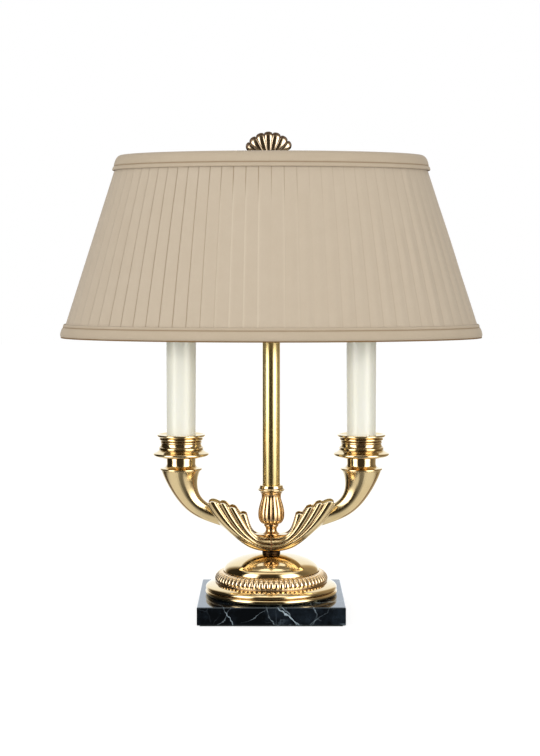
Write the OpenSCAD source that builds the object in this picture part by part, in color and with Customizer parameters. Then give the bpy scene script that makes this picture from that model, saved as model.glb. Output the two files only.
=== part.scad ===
// Two-light bouillotte table lamp: marble slab, stepped brass foot, two cast arms with
// candle sockets, reeded vase and column, and an oval pleated shade held by a shell finial.
// Millimetres, +Z up, front towards -Y, origin on the table under the lamp's axis.

/* [Base] */
// Side of the square marble slab
slab_side = 156; // [152:1:190]
// Thickness of the marble slab
slab_t = 19; // [17:0.5:30]
// Bevel along the slab's edges
slab_bevel = 0.8; // [0.4:0.1:2]
// Thickness of the felt under the slab
felt_t = 1.2; // [0.8:0.1:3]
// How far the felt stays inside the slab's edge
felt_inset = 3; // [1:0.5:6]
// Radius of the nut's pocket under the slab
pocket_r = 17; // [15:0.5:24]
// Depth of the nut's pocket
pocket_depth = 11.5; // [11:0.5:13]
// Radius of the cord hole through the back of the slab
cord_hole_r = 4; // [3.4:0.1:4.6]
// Radius of the bore that the cord bushing leaves for the cord
bushing_bore_r = 3; // [2:0.1:3.2]
// Widest radius of the brass foot
foot_r = 71.8; // [68:0.1:74]
// Height of the brass foot
foot_h = 13.2; // [11:0.1:18]
// Widest radius of the gadrooned ring
gadroon_r = 61.8; // [58:0.1:62.5]
// Height of the gadrooned ring
gadroon_h = 11.8; // [9:0.1:15]
// Number of gadroons on the ring
gadroon_n = 66; // [48:1:72]
// How deep the grooves between gadroons are
gadroon_depth = 1.3; // [0.8:0.1:1.6]
// Radius of the dome where it meets the ring
dome_r = 51.8; // [49.5:0.1:53]
// Height that the full dome would have
dome_h = 18.8; // [14:0.1:30]
// Wall of the cast brass shells of the base
shell_wall = 2.4; // [1.6:0.1:3.5]
// Radius of the dark spacer under the arms
spacer_r = 9.8; // [9.5:0.1:14]
// Height of the spacer
spacer_h = 2.4; // [1.5:0.1:5]

/* [Threaded rods] */
// Radius of the threaded tubes that hold the lamp together
rod_r = 5; // [4.8:0.05:5.2]
// Radius of the wire way through those tubes
rod_bore_r = 3.4; // [3.2:0.05:3.6]
// Width across the corners of the hexagon nuts
nut_w = 17; // [15:0.5:19]
// Thickness of the hexagon nuts
nut_t = 4; // [3:0.5:4.5]
// Thickness of the washer in the slab's pocket
washer_t = 1.6; // [1:0.1:2]

/* [Arms] */
// Distance from the lamp's axis to each candle's axis
arm_reach = 98.3; // [92:0.1:112]
// Height of each horn's mouth above the foot of the arms
arm_rise = 88.5; // [84:0.1:100]
// Radius of the horn at its mouth
horn_r = 21.8; // [20:0.1:24]
// Height of the fluted fan at its middle seam
fan_h = 18.8; // [17:0.1:21]
// Half depth of the fan, front to back, at its middle seam
fan_depth = 15; // [14:0.1:18]
// Thickness of the fan's free edges
fan_wall = 1.8; // [1.4:0.1:2.2]
// Radius of the wire way cast into each arm
wire_way_r = 3; // [2.4:0.1:3.2]
// Radius of the turned lip on each mouth
lip_r = 23; // [22:0.1:25]
// Radius of the neck above the lip
neck_r = 15.8; // [13:0.1:18]
// Height of the lip and neck together
neck_h = 14; // [11:0.1:20]

/* [Candle cups] */
// Widest radius of the candle cup
cup_r = 30.5; // [29.5:0.1:34]
// Height of the candle cup
cup_h = 24.9; // [22:0.1:32]
// Height of the ledge inside the cup that the cover stands on
cup_ledge = 9.5; // [8:0.1:10.5]

/* [Candles and sockets] */
// Outer radius of the candle covers
cover_r = 15.875; // [15.5:0.005:16.2]
// Wall of the candle covers
cover_wall = 1.25; // [1:0.05:1.35]
// Length of the candle covers
cover_len = 152.4; // [140:0.1:165]
// Radius of the screw cap on each bulb
cap_r = 13; // [12.8:0.01:13.05]
// Length of the screw cap on each bulb
cap_len = 25; // [22:0.5:28]
// Widest radius of the bulbs
bulb_r = 17.5; // [16.5:0.1:19]
// Length of the glass above the cap
glass_len = 78; // [65:1:90]
// How far the socket stands up inside the cover's top edge
socket_sink = 3; // [2:0.5:6]

/* [Column] */
// Height of the reeded vase
vase_h = 45.3; // [40:0.1:56]
// Widest radius of the reeded vase
vase_r = 14.6; // [13.4:0.1:16]
// Number of reeds around the vase
reed_n = 12; // [8:1:18]
// Height of the collar above the vase
collar_h = 8; // [7:0.1:12]
// Outer radius of the column tube
column_r = 9.6; // [8.6:0.1:10]
// Wall of the column tube
column_wall = 1.2; // [0.8:0.1:1.6]
// Length of the column tube
column_len = 186.4; // [170:0.1:205]
// Outer radius of the switch housing
housing_r = 16; // [15.5:0.1:19]
// Height of the switch housing
housing_h = 42; // [40:0.5:50]
// Radius of the switch knob
knob_r = 8; // [6.5:0.5:10]
// Length of the switch knob
knob_len = 12; // [9:0.5:16]
// Outer radius of the slim tube above the switch
stem_r = 6.35; // [6.1:0.05:8]
// Length of the slim tube above the switch
stem_len = 101; // [96:0.5:106]
// Radius of the seat that carries the shade
seat_r = 11; // [9.5:0.5:14]
// Height of the shade seat
seat_h = 12; // [10:0.5:13]
// Radius of the stud that holds the shade and the finial
stud_r = 3.175; // [3:0.005:3.4]
// Length of that stud above the seat
stud_len = 10; // [8:0.5:10]

/* [Shade] */
// Half width of the shade at its top, at the foot of the pleats
shade_top_a = 165; // [150:0.5:180]
// Half width of the shade at its bottom, at the foot of the pleats
shade_bottom_a = 228; // [205:0.5:232]
// Depth of the oval shade as a share of its width
shade_oval = 0.5; // [0.46:0.01:0.6]
// Height of the shade
shade_h = 199; // [190:1:215]
// How far the shade's top is above the shade seat
shade_lift = 21; // [19:0.5:24]
// Number of pleats around the shade
pleat_n = 72; // [56:1:84]
// How far the pleats rise from the backing
pleat_depth = 1.3; // [0.8:0.1:1.6]
// Thickness of the cloth and its backing between the pleats
cloth_t = 0.8; // [0.6:0.1:1.2]
// Thickness of the lining
liner_t = 0.8; // [0.6:0.1:1]
// Height of the trim along the top
top_trim_h = 16.8; // [14:0.1:22]
// Height of the trim along the bottom
bottom_trim_h = 15.2; // [13:0.1:20]
// Thickness of the trims over the pleats
trim_t = 1.9; // [1.4:0.1:2.6]
// Radius of the wire of the frame's rings
ring_wire_r = 1.6; // [1.2:0.05:1.7]
// Radius of the frame's side wires
side_wire_r = 1.2; // [1:0.05:1.5]
// Number of side wires
side_wire_n = 8; // [6:2:10]
// Thickness of the washer at the middle of the spider
spider_t = 1.6; // [1.2:0.1:2.4]
// Radius of the washer at the middle of the spider
spider_r = 9.5; // [9:0.5:12]
// Length of each of the spider's lugs past the seat
spider_flat = 5; // [2.5:0.5:8]
// Width of the spider's lugs
lug_w = 5; // [4:0.5:8]

/* [Finial] */
// Half width of the shell
shell_half_w = 27.5; // [22:0.5:30]
// Height of the shell
shell_h = 34.5; // [30:0.5:40]
// Half thickness of the shell
shell_half_t = 5.5; // [4.5:0.1:7]
// Number of flutes on the shell
flute_n = 7; // [5:1:12]
// Height of the finial's turned base
finial_base_h = 11.5; // [11:0.5:15]

/* [Hidden] */
$fn = 96;

// Clearances
fit = 0.06;      // turning and threaded fits
slip = 0.2;      // loose slip fits
gap = 0.3;       // cloth to its neighbours
seat_gap = 0.25; // finial to the spider, free to turn
eps = 0.01;      // overshoot of cuts

// Heights, stacked from the table upwards
foot_z = felt_t + slab_t;
ring_z = foot_z + foot_h;
dome_z = ring_z + gadroon_h;
spacer_z = dome_z + dome_h * sqrt(1 - pow(spacer_r / dome_r, 2));
arm_z = spacer_z + spacer_h;
vase_z = arm_z + fan_h;
collar_z = vase_z + vase_h;
tube_seat = 3;
column_z = collar_z + collar_h - tube_seat;
housing_z = column_z + column_len;
stem_z = housing_z + housing_h;
seat_z = stem_z + stem_len;
washer_z = seat_z + seat_h;
finial_z = washer_z + spider_t + seat_gap;
mouth_z = arm_z + arm_rise;
cup_z = mouth_z + neck_h;
ledge_z = cup_z + cup_ledge;
cover_top_z = ledge_z + cover_len;
shade_top_z = washer_z + shade_lift;
shade_bottom_z = shade_top_z - shade_h;

// ---------- helpers ----------

function lerp(a, b, t) = a + (b - a) * t;
function bezier(p, t) =
    pow(1 - t, 3) * p[0] + 3 * pow(1 - t, 2) * t * p[1]
    + 3 * (1 - t) * t * t * p[2] + pow(t, 3) * p[3];
function unit(v) = v / norm(v);
function arc(c, r, a0, a1, n) =
    [for (i = [0 : n]) c + r * [cos(lerp(a0, a1, i / n)), sin(lerp(a0, a1, i / n))]];
// An outline given as shares of a radius and a height
function fitted(shares, r, h) = [for (s = shares) [s[0] * r, s[1] * h]];

// A turned solid from its half outline
module turned(outline, z = 0) {
    translate([0, 0, z]) rotate_extrude() polygon(outline);
}

// A tube between two heights
module tube(r_out, r_in, z0, z1) {
    translate([0, 0, z0]) difference() {
        cylinder(r = r_out, h = z1 - z0);
        translate([0, 0, -eps]) cylinder(r = r_in, h = z1 - z0 + 2 * eps);
    }
}

// A rod between two points
module rod_between(a, b, r) {
    d = b - a;
    translate(a)
        rotate([0, acos(d[2] / norm(d)), atan2(d[1], d[0])])
            cylinder(r = r, h = norm(d));
}

function quad(a, b, c, d) = [[a, b, c], [a, c, d]];

// A solid from a grid of points that closes both ways, like a ring
module closed_grid(rows) {
    n = len(rows);
    m = len(rows[0]);
    polyhedron(
        points = [for (row = rows) each row],
        faces = [for (i = [0 : n - 1], j = [0 : m - 1])
            let (a = i * m, b = ((i + 1) % n) * m, k = (j + 1) % m)
            each quad(a + j, a + k, b + k, b + j)],
        convexity = 8);
}

// A solid from a row of closed bands; each band runs out along one side of a wall and
// back along the other, so that its two ends close with strips
module banded_loft(rows) {
    n = len(rows);
    m = len(rows[0]);
    last = (n - 1) * m;
    polyhedron(
        points = [for (row = rows) each row],
        faces = concat(
            [for (i = [0 : n - 2], j = [0 : m - 1])
                let (a = i * m, b = a + m, k = (j + 1) % m)
                each quad(a + j, b + j, b + k, a + k)],
            [for (j = [0 : m / 2 - 2]) each quad(j, j + 1, m - 2 - j, m - 1 - j)],
            [for (j = [0 : m / 2 - 2])
                each quad(last + m - 1 - j, last + m - 2 - j, last + j + 1, last + j)]),
        convexity = 8);
}

// A swept tube along hand-picked points, with flat ends
module swept(path, r, sides = 8) {
    n = len(path);
    ring_at = function (i)
        let (
            t = unit(path[min(i + 1, n - 1)] - path[max(i - 1, 0)]),
            s = unit(cross(t, [0.31, 0.94, 0.12])),
            q = cross(t, s))
        [for (k = [0 : sides - 1])
            path[i] + r * (cos(360 * k / sides) * s + sin(360 * k / sides) * q)];
    rings = [for (i = [0 : n - 1]) ring_at(i)];
    last = (n - 1) * sides;
    polyhedron(
        points = [for (ring = rings) each ring],
        faces = concat(
            [for (i = [0 : n - 2], j = [0 : sides - 1])
                let (a = i * sides, b = a + sides, k = (j + 1) % sides)
                each quad(a + j, b + j, b + k, a + k)],
            [[for (j = [0 : sides - 1]) j]],
            [[for (j = [sides - 1 : -1 : 0]) last + j]]),
        convexity = 4);
}

module hex_nut(z) {
    translate([0, 0, z]) difference() {
        cylinder(r = nut_w / 2, h = nut_t, $fn = 6);
        translate([0, 0, -eps]) cylinder(r = rod_r + fit, h = nut_t + 2 * eps);
    }
}

// Places a child on the left or the right candle's axis
module at_candle(side) {
    translate([side * arm_reach, 0, 0]) children();
}

// ---------- base ----------

cord_z = felt_t + cord_hole_r + 2.7;   // height of the cord hole's axis
bushing_len = 14;
bushing_flange_r = cord_hole_r + 1.6;
bushing_flange_t = 1.4;

module felt_pad() {
    side = slab_side - 2 * felt_inset;
    color("#2f3a30") difference() {
        translate([-side / 2, -side / 2, 0]) cube([side, side, felt_t]);
        translate([0, 0, -eps]) cylinder(r = pocket_r, h = felt_t + 2 * eps);
    }
}

module marble_base() {
    half = slab_side / 2;
    color("#16181b") difference() {
        translate([0, 0, felt_t]) intersection() {
            translate([-half, -half, 0]) cube([slab_side, slab_side, slab_t]);
            // the same bevel on every edge, cut by prisms along the three axes
            translate([0, half, 0]) rotate([90, 0, 0])
                linear_extrude(slab_side) bevelled(half, slab_t);
            translate([-half, 0, 0]) rotate([90, 0, 90])
                linear_extrude(slab_side) bevelled(half, slab_t);
            linear_extrude(slab_t) translate([0, -half]) bevelled(half, slab_side);
        }
        translate([0, 0, felt_t - eps]) cylinder(r = pocket_r, h = pocket_depth + eps);
        translate([0, 0, felt_t]) cylinder(r = rod_r + slip, h = slab_t + eps);
        translate([0, half + eps, cord_z]) rotate([90, 0, 0])
            cylinder(r = cord_hole_r, h = half - pocket_r / 2);
    }
}

// A rectangle 2 * half wide and h high, standing on its base, with bevelled corners
module bevelled(half, h) {
    b = slab_bevel;
    polygon([[-half + b, 0], [half - b, 0], [half, b], [half, h - b],
             [half - b, h], [-half + b, h], [-half, h - b], [-half, b]]);
}

washer_low_z = felt_t + pocket_depth - washer_t;

module base_washer() {
    color("#b8b5ac") tube(pocket_r - 3, rod_r + fit, washer_low_z, washer_low_z + washer_t);
}

module base_nut() {
    color("#b8b5ac") hex_nut(washer_low_z - nut_t);
}

module cord_bushing() {
    half = slab_side / 2;
    color("#1c1c1c") translate([0, half, cord_z]) rotate([90, 0, 0]) difference() {
        union() {
            translate([0, 0, -bushing_flange_t]) cylinder(r = bushing_flange_r, h = bushing_flange_t);
            cylinder(r = cord_hole_r - fit, h = bushing_len);
        }
        translate([0, 0, -bushing_flange_t - eps])
            cylinder(r = bushing_bore_r, h = bushing_len + bushing_flange_t + 2 * eps);
    }
}

// Foot: torus below a groove, ovolo above it; shares of its radius and height
foot_outline = [
    [0.972, 0], [0.988, 0.07], [0.997, 0.15], [1, 0.23], [0.996, 0.32], [0.985, 0.39],
    [0.973, 0.425], [0.973, 0.445], [0.985, 0.47], [0.994, 0.53], [0.994, 0.61],
    [0.984, 0.71], [0.962, 0.81], [0.93, 0.9], [0.895, 0.96], [0.87, 1]
];
plate_hole_r = 44;

module foot() {
    inner = [
        [plate_hole_r, foot_h], [plate_hole_r, foot_h - shell_wall],
        [0.84 * foot_r, foot_h - shell_wall], [0.925 * foot_r, 0.7 * foot_h],
        [0.94 * foot_r, 0]
    ];
    color("#b8923f") turned(concat(fitted(foot_outline, foot_r, foot_h), inner), foot_z);
}

// Gadroons: a quarter-round ring whose outer face swells into rounded lobes
gadroon_steps = 3;     // points across one gadroon
ring_in_r = 47;
ring_top_r = dome_r + 1.2;

// Sink of the ring's face at a place across one gadroon, from -1 to 1
function lobe_sink(s) = 1 - sqrt(1 - 0.97 * s * s);

module gadroon_ring() {
    n = gadroon_n * gadroon_steps;
    foot_edge = 0.27 * gadroon_h;
    face = [for (a = [0 : 18 : 90])
        [ring_top_r + (gadroon_r - ring_top_r) * cos(a),
         foot_edge + (gadroon_h - foot_edge) * sin(a)]];
    rows = [for (i = [0 : n - 1])
        let (
            t = 360 * i / n,
            s = 2 * (i % gadroon_steps) / gadroon_steps - 1,
            sink = gadroon_depth * lobe_sink(s),
            lobed = [for (k = [0 : len(face) - 1])
                face[k] - [sink * (k < len(face) - 1 ? 1 : 0), 0]],
            outline = concat([[gadroon_r - 1.2 - sink, 0]], lobed,
                             [[ring_in_r, gadroon_h], [ring_in_r, 0]]))
        [for (p = outline) [p[0] * cos(t), p[0] * sin(t), ring_z + p[1]]]];
    color("#b8923f") closed_grid(rows);
}

module dome() {
    top_a = acos(spacer_r / dome_r);
    in_r = dome_r - shell_wall;
    in_h = dome_h - shell_wall;
    hole_r = rod_r + slip;
    hole_a = acos(hole_r / in_r);
    outline = concat(
        [for (i = [0 : 16]) let (a = top_a * i / 16) [dome_r * cos(a), dome_h * sin(a)]],
        [[hole_r, dome_h * sin(top_a)]],
        [for (i = [12 : -1 : 0]) let (a = hole_a * i / 12) [in_r * cos(a), in_h * sin(a)]]);
    color("#c29a45") turned(outline, dome_z);
}

module arm_spacer() {
    color("#3a2c1a") tube(spacer_r, rod_r + slip, spacer_z, arm_z);
}

// ---------- arms ----------

// The rib lines of the fan, from its top edge down to its keel, as [out, up] from the
// seam's foot at the design size: height at the seam, and two handles of the curve
fan_lines = [
    [18.8, [19, 18.8], [20.5, 16]],
    [14.8, [18.5, 14.8], [18.5, 13.7]],
    [9.8, [19.5, 9.8], [30.5, 18.5]],
    [5.4, [17, 5.4], [39, 18]],
    [2.8, [20, 2.8], [50, 22]],
    [0, [27, 0], [29, 7]]
];
// The ends of each rib: its inner and its outer corner
rib_ends = [
    [[26.6, 40.4], [33.6, 40.8]],
    [[38.2, 47.6], [45.4, 48.2]],
    [[48.8, 52.2], [56.0, 52.6]],
    [[59.2, 54.4], [68.4, 53.8]],
    [[69.3, 52.0], [54.5, 27.2]]
];
// Half depth of each rib line at the seam and at its end, as shares of fan_depth
rib_depths = [[0.52, 0.70], [0.72, 0.77], [0.88, 0.82], [0.96, 0.84], [0.88, 0.83], [0, 0]];
// Swell of each rib at the seam and at its end
rib_swell = [[0.9, 1.5], [1.3, 1.9], [1.4, 2.1], [1.0, 2.3], [0.4, 0.8]];
tip_round = 1.6;       // how far a rib's rounded tip rises
design_reach = 98.3;
design_rise = 88.5;
keel_rib = 4;

// Scales a design point to the reach and the rise of the arm; the seam keeps fan_h
function arm_scale(p) = [p[0] * arm_reach / design_reach, p[1] * arm_rise / design_rise];
function seam_scale(h) = h * fan_h / fan_lines[0][0];

// A point of the fan's outer face: u runs along the ribs, f across one of them
function fan_plane(u, rib, f) =
    let (
        w = rib == keel_rib ? sin(90 * f) : f,
        a = fan_lines[rib],
        b = fan_lines[rib + 1],
        h = seam_scale(lerp(a[0], b[0], w)),
        p1 = [arm_scale(lerp(a[1], b[1], w))[0], h],
        p2 = arm_scale(lerp(a[2], b[2], w)),
        corner = arm_scale(lerp(rib_ends[rib][0], rib_ends[rib][1], w)),
        tip = rib == keel_rib ? 0 : tip_round * 4 * f * (1 - f),
        p3 = corner + tip * unit(corner - p2))
    bezier([[0, h], p1, p2, p3], u);

function rib_depth(u, rib, f) =
    fan_depth * (rib == keel_rib
        ? lerp(rib_depths[rib][0], rib_depths[rib][1], u) * cos(90 * f)
        : lerp(lerp(rib_depths[rib][0], rib_depths[rib][1], u),
               lerp(rib_depths[rib + 1][0], rib_depths[rib + 1][1], u), f));

function fan_outer(u, rib, f) =
    let (
        p = fan_plane(u, rib, f),
        swell = lerp(rib_swell[rib][0], rib_swell[rib][1], u) * 4 * f * (1 - f))
    [p[0], rib_depth(u, rib, f) + swell * (rib == keel_rib ? cos(90 * f) : 1), p[1]];

// The floor of the trough between the front and the back of the fan
function trough_floor(x) =
    seam_scale(18.8) + 0.6 * max(0, x - 19 * arm_reach / design_reach) * (arm_rise / design_rise)
      * (design_reach / arm_reach);

function fan_inner(u, rib, f) =
    let (
        p = fan_plane(u, rib, f),
        c = (rib + f) / (keel_rib + 1),
        seam_y = (fan_depth * rib_depths[0][0] - fan_wall) * (1 - c * c),
        side_y = rib == keel_rib
            ? (rib_depth(u, rib, 0) - fan_wall) * cos(90 * f)
            : rib_depth(u, rib, f) - fan_wall)
    [p[0], lerp(seam_y, side_y, u), max(p[1], trough_floor(p[0]))];

rib_fs = [0.04, 0.35, 0.65, 0.96];     // places across a rib, clear of its creases
fan_us = [0, 0.12, 0.24, 0.36, 0.48, 0.58, 0.68, 0.77, 0.85, 0.92, 1];
fan_columns = concat(
    [for (rib = [0 : keel_rib], f = rib_fs) [rib, rib == keel_rib && f == rib_fs[3] ? 1 : f]]);

function front(p) = [p[0], -p[1], p[2]];

module fan() {
    cols = fan_columns;
    n = len(cols);
    rows = [for (u = fan_us) concat(
        [for (i = [0 : n - 1]) front(fan_outer(u, cols[i][0], cols[i][1]))],
        [for (i = [n - 2 : -1 : 0]) fan_outer(u, cols[i][0], cols[i][1])],
        [for (i = [0 : n - 1]) fan_inner(u, cols[i][0], cols[i][1])],
        [for (i = [n - 2 : -1 : 0]) front(fan_inner(u, cols[i][0], cols[i][1]))])];
    banded_loft(rows);
}

// Edges of the horn in the plane of the arms, at the design size
horn_outer = [[54, 26.8], [90.7, 38.6], [97.8, 42.8], [120.1, 88.5]];
horn_inner = [[58, 47], [81.8, 56.1], [82.5, 66.4], [76.5, 88.5]];
horn_steps = 16;
horn_root = [44, 29.5];      // where the horn starts inside the fan
horn_root_r = 5;

horn_sides = 28;

function horn_edge(edge, t) = arm_scale(bezier(edge, t));

// Middle, radius and slope of the horn's section; t runs from the fan to the mouth
function horn_section(t) =
    let (
        a = horn_edge(horn_outer, t),
        b = horn_edge(horn_inner, t),
        c = (a + b) / 2,
        r = norm(a - b) / 2,
        grow = (horn_r - norm(horn_outer[3] - horn_inner[3]) / 2) * t * t)
    [[lerp(c[0], arm_reach, pow(t, 6)), c[1]], r + grow, unit(a - b)];

function horn_ring(c, r, slope) =
    [for (k = [0 : horn_sides - 1])
        let (q = 360 * k / horn_sides)
        [c[0] + r * cos(q) * slope[0], r * sin(q), c[1] + r * cos(q) * slope[1]]];

module horn() {
    first = horn_section(0);
    rings = concat(
        [horn_ring(arm_scale(horn_root), horn_root_r, first[2])],
        [for (i = [0 : horn_steps])
            let (s = horn_section(i / horn_steps)) horn_ring(s[0], s[1], s[2])]);
    last = horn_steps + 1;
    polyhedron(
        points = [for (ring = rings) each ring],
        faces = concat(
            [for (i = [0 : last - 1], j = [0 : horn_sides - 1])
                let (a = i * horn_sides, b = a + horn_sides, k = (j + 1) % horn_sides)
                each quad(a + j, b + j, b + k, a + k)],
            [[for (j = [0 : horn_sides - 1]) j]],
            [[for (j = [horn_sides - 1 : -1 : 0]) last * horn_sides + j]]),
        convexity = 4);
}

// The middle line of the wire way, from the rod to the mouth of the horn
wire_way = [[0, 9.5], [16, 9.5], [28, 15.5], [42, 24.5], [58, 37], [76, 46.5], [89, 60],
            [97.5, 72], [98.3, 90]];

stem_hold = 13;          // how far each socket stem screws into its horn

module arm() {
    translate([0, 0, arm_z]) difference() {
        union() {
            fan();
            horn();
        }
        translate([0, 0, -1]) cylinder(r = rod_r + slip, h = fan_h + 2, $fn = 32);
        translate([arm_reach, 0, arm_rise - stem_hold - 1])
            cylinder(r = rod_r + fit, h = stem_hold + 2, $fn = 32);
        for (i = [0 : len(wire_way) - 2]) {
            p = arm_scale(wire_way[i]);
            q = arm_scale(wire_way[i + 1]);
            hull() {
                translate([p[0], 0, p[1]]) sphere(r = wire_way_r, $fn = 12);
                translate([q[0], 0, q[1]]) sphere(r = wire_way_r, $fn = 12);
            }
        }
    }
}

module arm_right() { color("#b8923f") arm(); }
module arm_left() { color("#b8923f") mirror([1, 0, 0]) arm(); }

// ---------- vase and column ----------

// Vase: shares of its radius and height, and how far the reeds swell there
vase_outline = [
    [0.62, 0, 0], [0.6, 0.012, 0], [0.52, 0.035, 0], [0.435, 0.065, 0], [0.41, 0.095, 0],
    [0.42, 0.13, 0], [0.455, 0.155, 0], [0.5, 0.175, 0], [0.545, 0.2, 0], [0.56, 0.235, 0],
    [0.735, 0.256, 0.4], [0.873, 0.305, 1], [0.972, 0.377, 1], [1, 0.45, 1], [1, 0.521, 1],
    [0.958, 0.618, 1], [0.882, 0.713, 1], [0.788, 0.81, 1], [0.743, 0.859, 0.8],
    [0.743, 0.932, 0.3], [0.79, 0.975, 0], [0.84, 1, 0]
];
reed_steps = 4;
reed_depth = 0.9;

module vase() {
    n = reed_n * reed_steps;
    bore = rod_r + slip;
    rows = [for (i = [0 : n - 1])
        let (
            t = 360 * i / n,
            s = 2 * (i % reed_steps) / reed_steps - 1,
            outline = concat(
                [for (p = vase_outline)
                    [p[0] * vase_r - reed_depth * p[2] * lobe_sink(s), p[1] * vase_h]],
                [[bore, vase_h], [bore, 0]]))
        [for (p = outline) [p[0] * cos(t), p[0] * sin(t), vase_z + p[1]]]];
    color("#a8812f") closed_grid(rows);
}

// Collar: shares of the vase's radius and of its own height
collar_outline = [
    [0.845, 0], [0.89, 0.16], [0.96, 0.24], [0.995, 0.32], [0.995, 0.42], [0.94, 0.5],
    [0.9, 0.57], [0.885, 0.7], [0.868, 0.85], [0.845, 0.96], [0.8, 1]
];

module column_collar() {
    bore = rod_r + slip;
    socket_r = column_r + fit;
    color("#b8923f") turned(concat(
        fitted(collar_outline, vase_r, collar_h),
        [[socket_r, collar_h], [socket_r, collar_h - tube_seat],
         [bore, collar_h - tube_seat], [bore, 0]]), collar_z);
}

end_wall = 3;            // thickness of the switch housing's two ends
rod_low_z = washer_low_z - nut_t - 1;
rod_top_z = housing_z + end_wall + nut_t + 1.5;
lead_hole_r = 3.2;

module main_rod() {
    color("#9a9488") difference() {
        tube(rod_r, rod_bore_r, rod_low_z, rod_top_z);
        // way out for the two arm leads
        translate([0, 0, arm_z + arm_scale(wire_way[0])[1]]) rotate([0, 90, 0])
            cylinder(r = lead_hole_r, h = 4 * rod_r, center = true);
    }
}

module column_tube() {
    color("#c9a24c") tube(column_r, column_r - column_wall, column_z, housing_z);
}

// Switch housing: a turned box with rounded ends, and a hole in front for the switch
housing_wall = 1.6;
block_z = housing_z + 0.5 * housing_h;
switch_neck_r = 4;
block_half = 7.5;
block_half_h = 10;
block_front = 11.4;
knob_y = -housing_r - 3;

module switch_housing() {
    bore = rod_r + fit;
    in_r = housing_r - housing_wall;
    outline = concat(
        [[bore, 0]],
        arc([housing_r - 4, 4], 4, -90, 0, 6),
        arc([housing_r - 4, housing_h - 4], 4, 0, 90, 6),
        [[bore, housing_h], [bore, housing_h - end_wall],
         [in_r, housing_h - end_wall], [in_r, end_wall], [bore, end_wall]]);
    color("#b8923f") difference() {
        turned(outline, housing_z);
        translate([0, 0, block_z]) rotate([90, 0, 0])
            cylinder(r = switch_neck_r + fit, h = housing_r + 1);
    }
}

module switch_block() {
    bore = stud_r + fit;
    color("#24211f") difference() {
        union() {
            translate([-block_half, -block_front, block_z - block_half_h])
                cube([2 * block_half, block_front + 2, 2 * block_half_h]);
            translate([0, 0, block_z]) rotate([90, 0, 0])
                cylinder(r = switch_neck_r, h = housing_r + 1.5);
            // ring nut that clamps the switch to the housing
            translate([0, -housing_r - 0.1, block_z]) rotate([90, 0, 0])
                cylinder(r = switch_neck_r + 2.4, h = 1.6);
        }
        translate([0, 0, block_z]) rotate([90, 0, 0])
            translate([0, 0, 4]) cylinder(r = bore, h = housing_r + 8);
    }
}

module switch_knob() {
    outline = concat(
        [[0, 0], [knob_r * 0.72, 0], [knob_r * 0.8, 1.5]],
        arc([knob_r - 2, knob_len - 3], 2, -20, 90, 5), [[0, knob_len - 0.6]]);
    color("#b8923f") union() {
        translate([0, knob_y, block_z]) rotate([90, 0, 0]) rotate_extrude() polygon(outline);
        translate([0, -4.5, block_z]) rotate([90, 0, 0])
            cylinder(r = stud_r, h = -knob_y - 4.5 + 1);
    }
}

module rod_nut() { color("#b8b5ac") hex_nut(housing_z + end_wall); }

stem_rod_low_z = stem_z - end_wall - nut_t - 1;
stem_rod_up = 8;

module stem_nut() { color("#b8b5ac") hex_nut(stem_z - end_wall - nut_t); }

module stem_rod() {
    color("#9a9488") tube(rod_r, rod_bore_r, stem_rod_low_z, seat_z + stem_rod_up);
}

module stem_tube() {
    color("#c9a24c") tube(stem_r, rod_r + slip, stem_z, seat_z);
}

module shade_seat() {
    bore = rod_r + fit;
    outline = concat(
        [[bore, 0], [stem_r + 0.4, 0], [stem_r + 0.8, 2]],
        [for (i = [0 : 6]) let (a = 15 * i)
            [lerp(stem_r + 0.8, seat_r, sin(a)), lerp(seat_h - 3, 2, cos(a))]],
        [[seat_r, seat_h], [stud_r, seat_h], [stud_r, seat_h + stud_len],
         [0, seat_h + stud_len], [0, stem_rod_up + 0.4], [bore, stem_rod_up + 0.4]]);
    color("#b8923f") turned(outline, seat_z);
}

// ---------- necks, cups, sockets, candles and bulbs ----------

module neck(side) {
    lip_t = 2.2;
    flare_h = 5.4;
    flare = [for (i = [0 : 8]) let (a = 90 * i / 8)
        [lerp(lip_r - 1.4, neck_r, sin(a)), lerp(flare_h, lip_t, cos(a))]];
    outline = concat(
        [[rod_r + fit, 0], [lip_r - 0.9, 0], [lip_r - 0.2, 0.4], [lip_r, 1.1], [lip_r - 0.3, 1.8]],
        flare,
        [[neck_r, neck_h], [rod_r + fit, neck_h]]);
    color("#b8923f") at_candle(side) turned(outline, mouth_z);
}

module neck_left() { neck(-1); }
module neck_right() { neck(1); }

// Candle cup: shares of its widest radius and of its height
cup_outline = [
    [0.53, 0], [0.78, 0.015], [0.93, 0.055], [0.985, 0.095], [1, 0.125], [0.99, 0.155],
    [0.95, 0.18], [0.88, 0.21], [0.81, 0.26], [0.765, 0.32], [0.755, 0.355], [0.775, 0.375],
    [0.785, 0.41], [0.775, 0.445], [0.75, 0.465], [0.74, 0.5], [0.72, 0.58], [0.712, 0.64],
    [0.715, 0.665], [0.745, 0.685], [0.75, 0.715], [0.745, 0.74], [0.765, 0.755],
    [0.79, 0.78], [0.795, 0.82], [0.785, 0.85], [0.8, 0.87], [0.85, 0.905], [0.865, 0.945],
    [0.86, 0.98], [0.84, 1], [0.81, 0.995]
];

cup_floor = 3.5;

module candle_cup(side) {
    well_r = cover_r + slip;
    inside_r = well_r - 1.6;
    outline = concat(
        fitted(cup_outline, cup_r, cup_h),
        [[0.68 * cup_r, 0.93 * cup_h], [well_r, 0.88 * cup_h], [well_r, cup_ledge],
         [inside_r, cup_ledge], [inside_r, cup_floor], [rod_r + fit, cup_floor], [rod_r + fit, 0]]);
    color("#b8923f") at_candle(side) turned(outline, cup_z);
}

module candle_cup_left() { candle_cup(-1); }
module candle_cup_right() { candle_cup(1); }

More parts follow.
